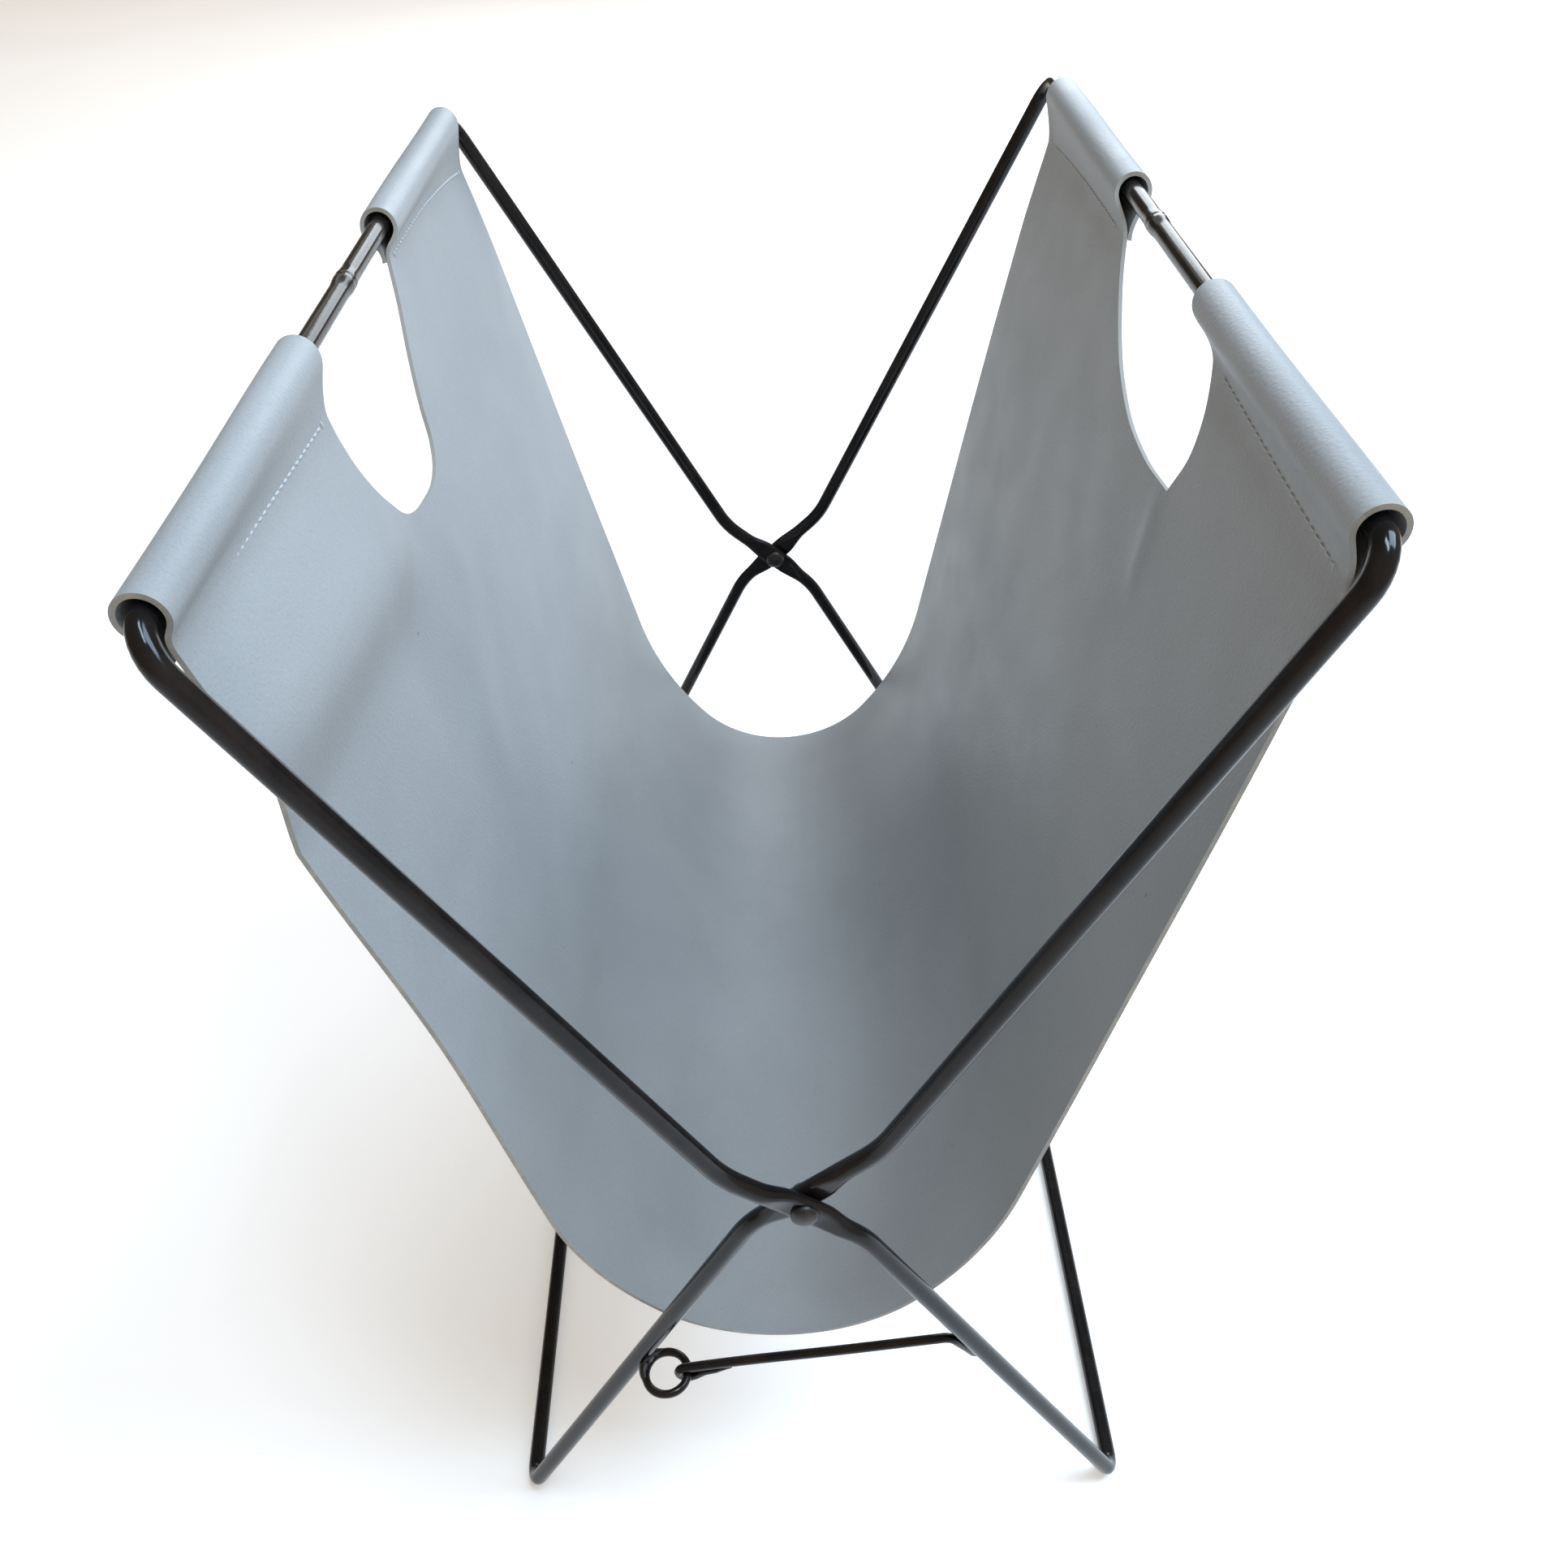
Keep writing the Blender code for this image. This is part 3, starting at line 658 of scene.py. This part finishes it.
# The sling.
def side_line():
    """The right panel's curved part as (x, z) points, where its straight part starts, and its slope there."""
    low_centre = LOW_Z + LOW_RADIUS
    start = (LOW_RADIUS * sin(LOW_SWEEP), low_centre - LOW_RADIUS * cos(LOW_SWEEP))
    centre = (start[0] - SIDE_RADIUS * sin(LOW_SWEEP), start[1] + SIDE_RADIUS * cos(LOW_SWEEP))
    to_rail = (RAIL_X - centre[0], RAIL_Z - CAD_HANG - centre[1])
    end = pi / 2 + atan2(to_rail[1], to_rail[0]) - acos(SIDE_RADIUS / hypot(*to_rail))
    line = []
    for i in range(20):
        turn = LOW_SWEEP * i / 20
        line.append((LOW_RADIUS * sin(turn), low_centre - LOW_RADIUS * cos(turn)))
    for i in range(18):
        turn = LOW_SWEEP + (end - LOW_SWEEP) * i / 18
        line.append((centre[0] + SIDE_RADIUS * sin(turn), centre[1] - SIDE_RADIUS * cos(turn)))
    tangent = (centre[0] + SIDE_RADIUS * sin(end), centre[1] - SIDE_RADIUS * cos(end))
    return line, tangent, end


def hermite(start, start_way, end, end_way, steps):
    """A smooth curve between two places with these ways at its ends, without its first point."""
    points = []
    for i in range(1, steps + 1):
        t = i / steps
        a, b = 2 * t**3 - 3 * t**2 + 1, t**3 - 2 * t**2 + t
        c, d = -2 * t**3 + 3 * t**2, t**3 - t**2
        points.append(start * a + start_way * b + end * c + end_way * d)
    return points


LINE, TANGENT, SLOPE = side_line()
UP = Vector((cos(SLOPE), sin(SLOPE)))
INWARD = Vector((-sin(SLOPE), cos(SLOPE)))
RAIL = Vector((RAIL_X, RAIL_Z - CAD_HANG))
TOP_CENTRE = Vector((RAIL_X, RAIL_Z - SLEEVE_DROP))


def half_path():
    """The sheet's middle line for the right half: up from the lowest point, over the rail, down the flap."""
    points = [Vector(p) for p in LINE]
    seam = RAIL - UP * SEAM_DROP
    straight = between(Vector(TANGENT), seam, 0.006)
    points += [Vector(TANGENT)] + straight + [seam]
    dip = SLEEVE_DIP
    start = TOP_CENTRE + SLEEVE_MID * (INWARD * cos(dip) - UP * sin(dip))
    start_way = (INWARD * sin(dip) + UP * cos(dip)) * 0.010
    seam_index = len(points) - 1
    points += hermite(seam, (UP + INWARD * 0.10).normalized() * 0.013, start, start_way, 10)
    steps = 30
    for i in range(1, steps + 1):
        turn = -dip + (pi + 2 * dip) * i / steps
        points.append(TOP_CENTRE + SLEEVE_MID * (INWARD * cos(turn) + UP * sin(turn)))
    outer_seam = seam - INWARD * (SHEET + 0.0001)
    end_way = (-UP - INWARD * 0.02).normalized() * 0.012
    top_way = (INWARD * sin(dip) - UP * cos(dip)) * 0.010
    points += hermite(points[-1], top_way, outer_seam, end_way, 10)
    flap = RAIL - UP * FLAP_DROP - INWARD * (SHEET + 0.0003)
    points += [outer_seam.lerp(flap, i / 3) for i in range(1, 4)]
    return points, seam_index


HALF, SEAM_INDEX = half_path()
# The inner seam's distance along the sheet from its lowest line.
SEAM_AT = sum((b - a).length for a, b in zip(HALF[:SEAM_INDEX], HALF[1:SEAM_INDEX + 1]))


def grid_of(values, spacing):
    """The values, with even steps of about this spacing between them."""
    made = [values[0]]
    for a, b in zip(values, values[1:]):
        steps = max(1, round((b - a) / spacing))
        made += [a + (b - a) * i / steps for i in range(1, steps + 1)]
    return made


def build_sling():
    """One closed sheet over both rails, before its hand-holds are cut, and its whole length."""
    path = [Vector((-p.x, p.y)) for p in HALF[::-1]][:-1] + HALF
    lengths = [0.0]
    for a, b in zip(path, path[1:]):
        lengths.append(lengths[-1] + (b - a).length)
    total = lengths[-1]
    half = total / 2
    outer_seam_at = half - (HALF[-1] - HALF[-4]).length
    seam_at = SEAM_AT
    ways = []
    for i in range(len(path)):
        ways.append((path[min(i + 1, len(path) - 1)] - path[max(i - 1, 0)]).normalized())
    ys = grid_of([-HALF_WIDTH, -0.160, -0.08, 0.0, 0.08, 0.160, HALF_WIDTH], SHEET_STEP)
    built = bmesh.new()
    uv = built.loops.layers.uv.new("cut")
    layers = []
    for offset in (SHEET / 2, -SHEET / 2):
        rows = []
        for i, (point, way) in enumerate(zip(path, ways)):
            normal = Vector((-way.y, way.x))
            s = lengths[i] - half
            row = []
            for y in ys:
                face_in = groove(s, y, (seam_at, outer_seam_at)) if offset > 0 else 0.0
                # How far round the sleeve this place lies: 0 at the inner seam, 1 at the outer one.
                around = min(1.0, max(0.0, (abs(s) - seam_at) / (outer_seam_at - seam_at)))
                slack = sleeve_slack(s, y) * sin(pi * around) ** 2 * smooth_step(around * 1.6 - 0.1)
                place = point + normal * (offset + dent(s, y) - face_in + slack)
                side = 1 if s > 0 else -1
                near_seam = max(1 - smooth_step(around / 0.30), smooth_step((around - 0.70) / 0.30))
                near_seam *= smooth_step((abs(s) - seam_at + 0.05) / 0.04)
                place += Vector((side * UP.x, UP.y)) * (seam_rise(side, y) * near_seam)
                if around >= 1:
                    past = (abs(s) - outer_seam_at) / (half - outer_seam_at)
                    place += Vector((side * UP.x, UP.y)) * (flap_trim(side, y) * past)
                place.x -= skew(s, y)
                row.append((built.verts.new((place.x, drawn_y(s, y), place.y)), (s, y)))
            rows.append(row)
        layers.append(rows)

    def face(corners, material, smooth=True):
        made = built.faces.new([c[0] for c in corners])
        made.material_index = material
        made.smooth = smooth
        for loop, corner in zip(made.loops, corners):
            loop[uv].uv = corner[1]

    top, under = layers
    rows, columns = len(path), len(ys)
    for i in range(rows - 1):
        for k in range(columns - 1):
            face((top[i][k], top[i + 1][k], top[i + 1][k + 1], top[i][k + 1]), GRAIN_SIDE)
            face((under[i][k], under[i][k + 1], under[i + 1][k + 1], under[i + 1][k]), FLESH_SIDE)
        for k in (0, columns - 1):
            ring = (top[i][k], under[i][k], under[i + 1][k], top[i + 1][k])
            face(ring if k == 0 else ring[::-1], CUT_EDGE, False)
    for i in (0, rows - 1):
        for k in range(columns - 1):
            ring = (top[i][k], top[i][k + 1], under[i][k + 1], under[i][k])
            face(ring if i == 0 else ring[::-1], CUT_EDGE, False)
    bmesh.ops.recalc_face_normals(built, faces=built.faces)
    mesh = bpy.data.meshes.new("leather_sling")
    built.to_mesh(mesh)
    built.free()
    return add_mesh("leather_sling", mesh, "leather", "suede", "edge"), total


def drawn_y(s, y):
    """A flat place's own y in the hung sling: drawn in near a seam, reaching out at the corners."""
    drawn = SEAM_DRAW * (1 - smooth_step(abs(abs(s) - SEAM_AT) / DRAW_REACH))
    corner = (s > 0, y > 0)
    reach = CORNER_REACH[corner] * smooth_step((abs(s) - 0.20) / 0.14)
    reach += EDGE_REACH[corner] * smooth_step(abs(s) / 0.12)
    return y * (1 - drawn / HALF_WIDTH) + reach * (abs(y) / HALF_WIDTH) ** 3 * (1 if y > 0 else -1)


def groove(s, y, seams):
    """How far the thread pulls the sheet's face in, along the sewn runs."""
    away = min(abs(abs(s) - seam) for seam in seams)
    runs = SEWN[-1 if s < 0 else 1]
    sewn = 0.0
    for start, end in runs:
        within = smooth_step((y - start) / SEWN_EASE + 0.5) * smooth_step((end - y) / SEWN_EASE + 0.5)
        sewn = max(sewn, within)
    return GROOVE_DEPTH * (1 - smooth_step(away / GROOVE_HALF)) * sewn


def seam_rise(side, y):
    """How far the seam's line lies above its mean place."""
    run = "front" if y < 0 else "rear"
    start, end = SEWN[side][0 if y < 0 else 1]
    first, last, late = SEAM_DRIFT[(side, run)]
    t = min(1.15, max(0.0, (y - start) / (end - start)))
    return first + (last - first) * t ** late


def flap_trim(side, y):
    """How far the flap's end is cut short where it would show through a hand-hold."""
    first, last = SEWN[side][0][1], SEWN[side][1][0]
    beside = smooth_step((y - first) / SEWN_EASE + 1.0) * smooth_step((last - y) / SEWN_EASE + 1.0)
    return (FLAP_DROP - SEAM_DROP) * 0.80 * beside


def skew(s, y):
    """How far the low part of the sling lies towards the left, most at its front edge."""
    amount = 0.0070 + (0.0018 if s < 0 else -0.0016) * smooth_step(abs(s) / 0.08)
    reach = smooth_step((0.335 - abs(s)) / 0.24) if s < 0 else smooth_step((0.30 - s) / 0.24)
    return amount * reach * (HALF_WIDTH - y) / (2 * HALF_WIDTH)


def sleeve_slack(s, y):
    """How far the sleeve stands off its rod, most where the left one opens at the hand-hold."""
    ends = smooth_step(1 - abs(y + 0.052) / 0.075)
    return 0.0004 + (0.0004 if s < 0 else 0.0002) * ends + 0.0002 * sin(y * 43 + s * 5)


def ridge(x):
    """One on the line of a crease, falling evenly to nothing at one, with a rounded top and a soft foot."""
    return max(0.0, 1 - (sqrt(x * x + 0.02) - sqrt(0.02)) / (sqrt(1.02) - sqrt(0.02))) ** 1.25


def dent(s, y):
    """How far the sheet stands from its smooth line: creases and hand-made unevenness."""
    height = 0.0004 * sin(y * 31 + s * 7) * sin(s * 23 + 1.0) + 0.0005 * sin(y * 17 - s * 11 + 2.0)
    height *= smooth_step((SEAM_AT - 0.004 - abs(s)) / 0.03)
    for (s0, y0), (s1, y1), rise, fall, crest, hollow in CREASES:
        run = Vector((s1 - s0, y1 - y0))
        place = Vector((s - s0, y - y0))
        t = place.dot(run) / run.length_squared
        away = (place.y * run.x - place.x * run.y) / run.length * (1 if run.y * s > 0 else -1)
        fade = smooth_step((t + 0.03) / 0.34) * smooth_step((1.30 - t) / 0.36)
        if away < 0:
            lift = crest * ridge(-away / rise)
        elif away < fall:
            lift = (crest + hollow) * ridge(away / fall) - hollow
        else:
            lift = -hollow * (1 - smooth_step((away - fall) / 0.11))
        height += fade * lift
    return height


def from_rail(side, drop, y):
    """A place on the sheet, as (s, y), from its distance down the panel from the rail."""
    return side * (SEAM_AT + SEAM_DROP - drop), y


# How far the sling's corners reach beyond its half width, by (right half, rear).
CORNER_REACH = {(False, False): 0.0082, (False, True): 0.0012, (True, False): 0.0014, (True, True): -0.0048}
EDGE_REACH = {(False, False): 0.0, (False, True): 0.0, (True, False): -0.0010, (True, True): -0.0022}
# Each seam's distance above its mean line, at its front end and its rear end, and how late it bends.
SEAM_DRIFT = {
    (-1, "front"): (0.0035, -0.0020, 1.0), (-1, "rear"): (0.0043, -0.0036, 2.2),
    (1, "front"): (0.0002, 0.0034, 1.2), (1, "rear"): (0.0012, -0.0024, 2.4),
}
SEWN = {-1: [(-0.166, -0.0615), (0.0475, 0.162)], 1: [(-0.160, -0.0740), (0.0460, 0.152)]}
# Each crease: its two ends, how far it rises and falls across, its height, and the hollow beyond.
CREASES = [
    (from_rail(-1, 0.059, -0.034), from_rail(-1, 0.042, -0.158), 0.036, 0.026, 0.0060, 0.0030),
    (from_rail(-1, 0.074, 0.000), from_rail(-1, 0.130, -0.050), 0.022, 0.022, 0.0012, 0.0),
    (from_rail(1, 0.047, -0.063), from_rail(1, 0.072, -0.066), 0.006, 0.006, 0.0009, 0.0),
]


def hand_hold_cutter(name, points, side):
    """A thick plate of the hand-hold's shape, set through the panel under one rail."""
    curve = bpy.data.curves.new(name, "CURVE")
    curve.dimensions = "2D"
    curve.fill_mode = "BOTH"
    curve.extrude = 0.02
    curve.resolution_u = 14
    spline = curve.splines.new("BEZIER")
    spline.bezier_points.add(len(points) - 1)
    for knot, (y, drop, sharp) in zip(spline.bezier_points, points):
        knot.co = (y, -drop, 0.0)
        knot.handle_left_type = knot.handle_right_type = "VECTOR" if sharp else "AUTO"
    spline.use_cyclic_u = True
    flat = bpy.data.objects.new(name, curve)
    bpy.context.scene.collection.objects.link(flat)
    up = Vector((side * cos(SLOPE), 0.0, sin(SLOPE)))
    along = Vector((0.0, 1.0, 0.0))
    turned = Matrix((along, up, along.cross(up))).transposed().to_4x4()
    flat.matrix_world = Matrix.Translation((side * RAIL_X, 0.0, RAIL_Z - CAD_HANG)) @ turned
    bpy.context.view_layer.update()
    mesh = bpy.data.meshes.new_from_object(flat.evaluated_get(bpy.context.evaluated_depsgraph_get()))
    built = bmesh.new()
    built.from_mesh(mesh)
    bmesh.ops.remove_doubles(built, verts=built.verts, dist=1e-6)
    bmesh.ops.recalc_face_normals(built, faces=built.faces)
    built.to_mesh(mesh)
    built.free()
    cutter = bpy.data.objects.new(name, mesh)
    bpy.context.scene.collection.objects.link(cutter)
    cutter.matrix_world = flat.matrix_world.copy()
    bpy.data.objects.remove(flat, do_unlink=True)
    return cutter


def cut_sling(sling):
    """Cut both hand-holds, and give the new edges the cut edge's look."""
    cutters = [
        hand_hold_cutter("cut_left", LEFT_HAND_HOLD, -1),
        hand_hold_cutter("cut_right", RIGHT_HAND_HOLD, 1),
    ]
    for cutter in cutters:
        step = sling.modifiers.new(cutter.name, "BOOLEAN")
        step.operation = "DIFFERENCE"
        step.solver = "EXACT"
        step.object = cutter
    bpy.context.view_layer.update()
    mesh = bpy.data.meshes.new_from_object(sling.evaluated_get(bpy.context.evaluated_depsgraph_get()))
    sling.modifiers.clear()
    sling.data = mesh
    for cutter in cutters:
        bpy.data.objects.remove(cutter, do_unlink=True)
    # Faces that the cutters made are small and run across the sheet: they are cut edge.
    built = bmesh.new()
    built.from_mesh(mesh)
    for face in built.faces:
        centre = face.calc_center_median()
        if abs(centre.y) >= 0.08 or centre.z < 0.30:
            continue
        panel_normal = Vector((-sin(SLOPE) * (1 if centre.x > 0 else -1), 0.0, cos(SLOPE)))
        small = face.calc_area() < 1e-5 and 0.33 < centre.z < RAIL_Z - 0.015
        if abs(face.normal.y) > 0.35 or (small and abs(face.normal.dot(panel_normal)) < 0.5):
            face.material_index = CUT_EDGE
            face.smooth = False
    built.to_mesh(mesh)
    built.free()
    mesh.set_sharp_from_angle(angle=radians(45))


sling, sling_length = build_sling()
cut_sling(sling)
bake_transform(sling)
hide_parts("left_sling_panel", "right_sling_panel")


# The stitches.
def stitch_row(name, side, start, end, node):
    """A run of stitches on the sheet's inner and outer faces, with one stitch across each end."""
    built = bmesh.new()
    seam = RAIL - UP * SEAM_DROP
    stitches = []
    for i in range(int((end - start) / STITCH_PITCH)):
        y = start + STITCH_PITCH * (i + 0.5)
        stitches.append((y, seam_rise(side, y), 0.0, STITCH_LENGTH))
    for y in (start + 0.001, end - 0.001):
        stitches.append((y, seam_rise(side, y), pi / 2, END_STITCH))
    for face_side in (1, -1):
        lift = SHEET / 2 if face_side > 0 else -(SHEET * 1.5 + 0.0001)
        for y, rise, turn, span in stitches:
            middle = seam + UP * rise + INWARD * (lift + face_side * 0.00006 - STITCH_SINK)
            centre = Vector((side * middle.x, y, middle.y))
            along = Vector((0.0, cos(turn), 0.0)) + Vector((side * UP.x, 0.0, UP.y)) * sin(turn)
            out = Vector((side * INWARD.x, 0.0, INWARD.y)) * face_side
            along = (along + out * rng.uniform(-0.04, 0.04)).normalized()
            across = along.cross(out).normalized()
            rings = []
            for k in range(7):
                run = k / 3 - 1
                swell = STITCH_RADIUS * sqrt(max(0.02, 1 - abs(run) ** 3))
                arch = STITCH_ARCH * (1 - run * run)
                ring = []
                for m in range(8):
                    a = 2 * pi * m / 8
                    spot = centre + along * (span / 2 * run)
                    spot += out * (arch + swell * sin(a)) + across * (swell * cos(a))
                    ring.append(built.verts.new(spot))
                rings.append(ring)
            for near, far in zip(rings, rings[1:]):
                for m in range(8):
                    built.faces.new((near[m], near[(m + 1) % 8], far[(m + 1) % 8], far[m]))
            built.faces.new(rings[0][::-1])
            built.faces.new(rings[-1])
    bmesh.ops.recalc_face_normals(built, faces=built.faces)
    for face in built.faces:
        face.smooth = True
    mesh = bpy.data.meshes.new(name)
    built.to_mesh(mesh)
    built.free()
    obj = add_mesh(name, mesh, "thread")
    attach(obj, "left_sling" if side < 0 else "right_sling")
    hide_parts(node)


for side, label in ((-1, "left"), (1, "right")):
    for run, (start, end) in zip(("front", "rear"), SEWN[side]):
        stitch_row(f"{label}_{run}_stitches", side, start, end, f"{label}_{run}_seam")


# The floor, the light and the camera.
def floor_look():
    """A plain pale floor that glows a little, so that it stays white as in the photo's cut-out."""
    look = Nodes("pale_floor")
    cloud = look.noise(2.2, 4.0, 0.5)
    colour = look.ramp(cloud, [(0.3, (0.86, 0.86, 0.86)), (0.7, (0.90, 0.90, 0.90))])
    look.link(colour, look.shader.inputs["Base Color"])
    look.link(look.span(cloud, 0.75, 0.9), look.shader.inputs["Roughness"])
    look.set(Specular_IOR_Level=0.2, Emission_Color=(1.0, 0.99, 0.97, 1.0), Emission_Strength=0.31)
    return look.material


bpy.ops.mesh.primitive_plane_add(size=14.0)
floor = bpy.context.object
floor.name = "floor"
floor.location = (0.0, 0.0, -0.0005)
floor.data.materials.append(floor_look())


def area_light(name, place, target, size, power, colour):
    """A rectangular lamp at place that points to target."""
    light = bpy.data.lights.new(name, "AREA")
    light.shape = "RECTANGLE"
    light.size, light.size_y = size
    light.energy = power
    light.color = colour
    obj = bpy.data.objects.new(name, light)
    bpy.context.scene.collection.objects.link(obj)
    obj.location = place
    obj.rotation_euler = (Vector(target) - Vector(place)).to_track_quat("-Z", "Y").to_euler()


area_light("key_window", (1.00, -0.02, 1.64), (0.0, 0.0, 0.28), (0.70, 1.10), 33.0, (0.58, 0.78, 1.0))
area_light("top_window", (0.22, -0.25, 1.95), (0.0, 0.0, 0.1), (0.25, 0.90), 18.0, (0.66, 0.82, 1.0))
area_light("far_window", (0.55, 2.40, 1.08), (0.1, 0.0, 0.41), (1.4, 1.1), 26.0, (0.86, 0.93, 1.0))
area_light("back_floor", (0.0, 2.7, 1.7), (0.0, 2.7, 0.0), (3.4, 1.4), 12.0, (1.0, 0.97, 0.92))


def make_world():
    """The room's light: dimmer and warmer towards the left, and dimmer towards the back."""
    world = bpy.data.worlds.new("studio")
    world.use_nodes = True
    nodes, links = world.node_tree.nodes, world.node_tree.links
    direction = nodes.new("ShaderNodeTexCoord")
    parts = nodes.new("ShaderNodeSeparateXYZ")
    across = nodes.new("ShaderNodeMapRange")
    across.inputs["From Min"].default_value = -0.8
    across.inputs["From Max"].default_value = 0.8
    tone = nodes.new("ShaderNodeValToRGB")
    tone.color_ramp.elements[0].color = (0.385, 0.300, 0.210, 1.0)
    tone.color_ramp.elements[1].color = (0.600, 0.530, 0.450, 1.0)
    away = nodes.new("ShaderNodeMapRange")
    away.inputs["From Min"].default_value = -0.4
    away.inputs["From Max"].default_value = 0.9
    away.inputs["To Min"].default_value = 1.0
    away.inputs["To Max"].default_value = 0.35
    shade = nodes.new("ShaderNodeVectorMath")
    shade.operation = "SCALE"
    links.new(direction.outputs["Generated"], parts.inputs["Vector"])
    links.new(parts.outputs["X"], across.inputs["Value"])
    links.new(across.outputs["Result"], tone.inputs["Fac"])
    links.new(parts.outputs["Y"], away.inputs["Value"])
    links.new(tone.outputs["Color"], shade.inputs["Vector"])
    links.new(away.outputs["Result"], shade.inputs["Scale"])
    background = nodes["Background"]
    links.new(shade.outputs["Vector"], background.inputs["Color"])
    background.inputs["Strength"].default_value = 1.0
    bpy.context.scene.world = world
    bpy.context.scene.view_settings.view_transform = "Standard"


make_world()

# The camera: its place, its turn in radians, and its focal length in pixels of the photo's size.
CAMERA_PLACE = (0.0031, -0.3879, 0.5432)
PITCH, YAW, ROLL = -0.7165, -0.0092, -0.058
FOCAL_PIXELS, FRAME_PIXELS = 1613.7, 1932
SENSOR_WIDTH = 36.0


def make_camera():
    """The photo's camera, as fitted to the corners of the two loops."""
    data = bpy.data.cameras.new("camera")
    data.sensor_width = SENSOR_WIDTH
    data.lens = SENSOR_WIDTH * FOCAL_PIXELS / FRAME_PIXELS
    data.clip_start, data.clip_end = 0.01, 50.0
    camera = bpy.data.objects.new("camera", data)
    bpy.context.scene.collection.objects.link(camera)
    forward = Vector((sin(YAW) * cos(PITCH), cos(YAW) * cos(PITCH), sin(PITCH)))
    level = Vector((cos(YAW), -sin(YAW), 0.0))
    over = level.cross(forward)
    right = level * cos(ROLL) + over * sin(ROLL)
    above = over * cos(ROLL) - level * sin(ROLL)
    turned = Matrix((right, above, -forward)).transposed().to_4x4()
    camera.matrix_world = Matrix.Translation(CAMERA_PLACE) @ turned
    bpy.context.scene.camera = camera


make_camera()
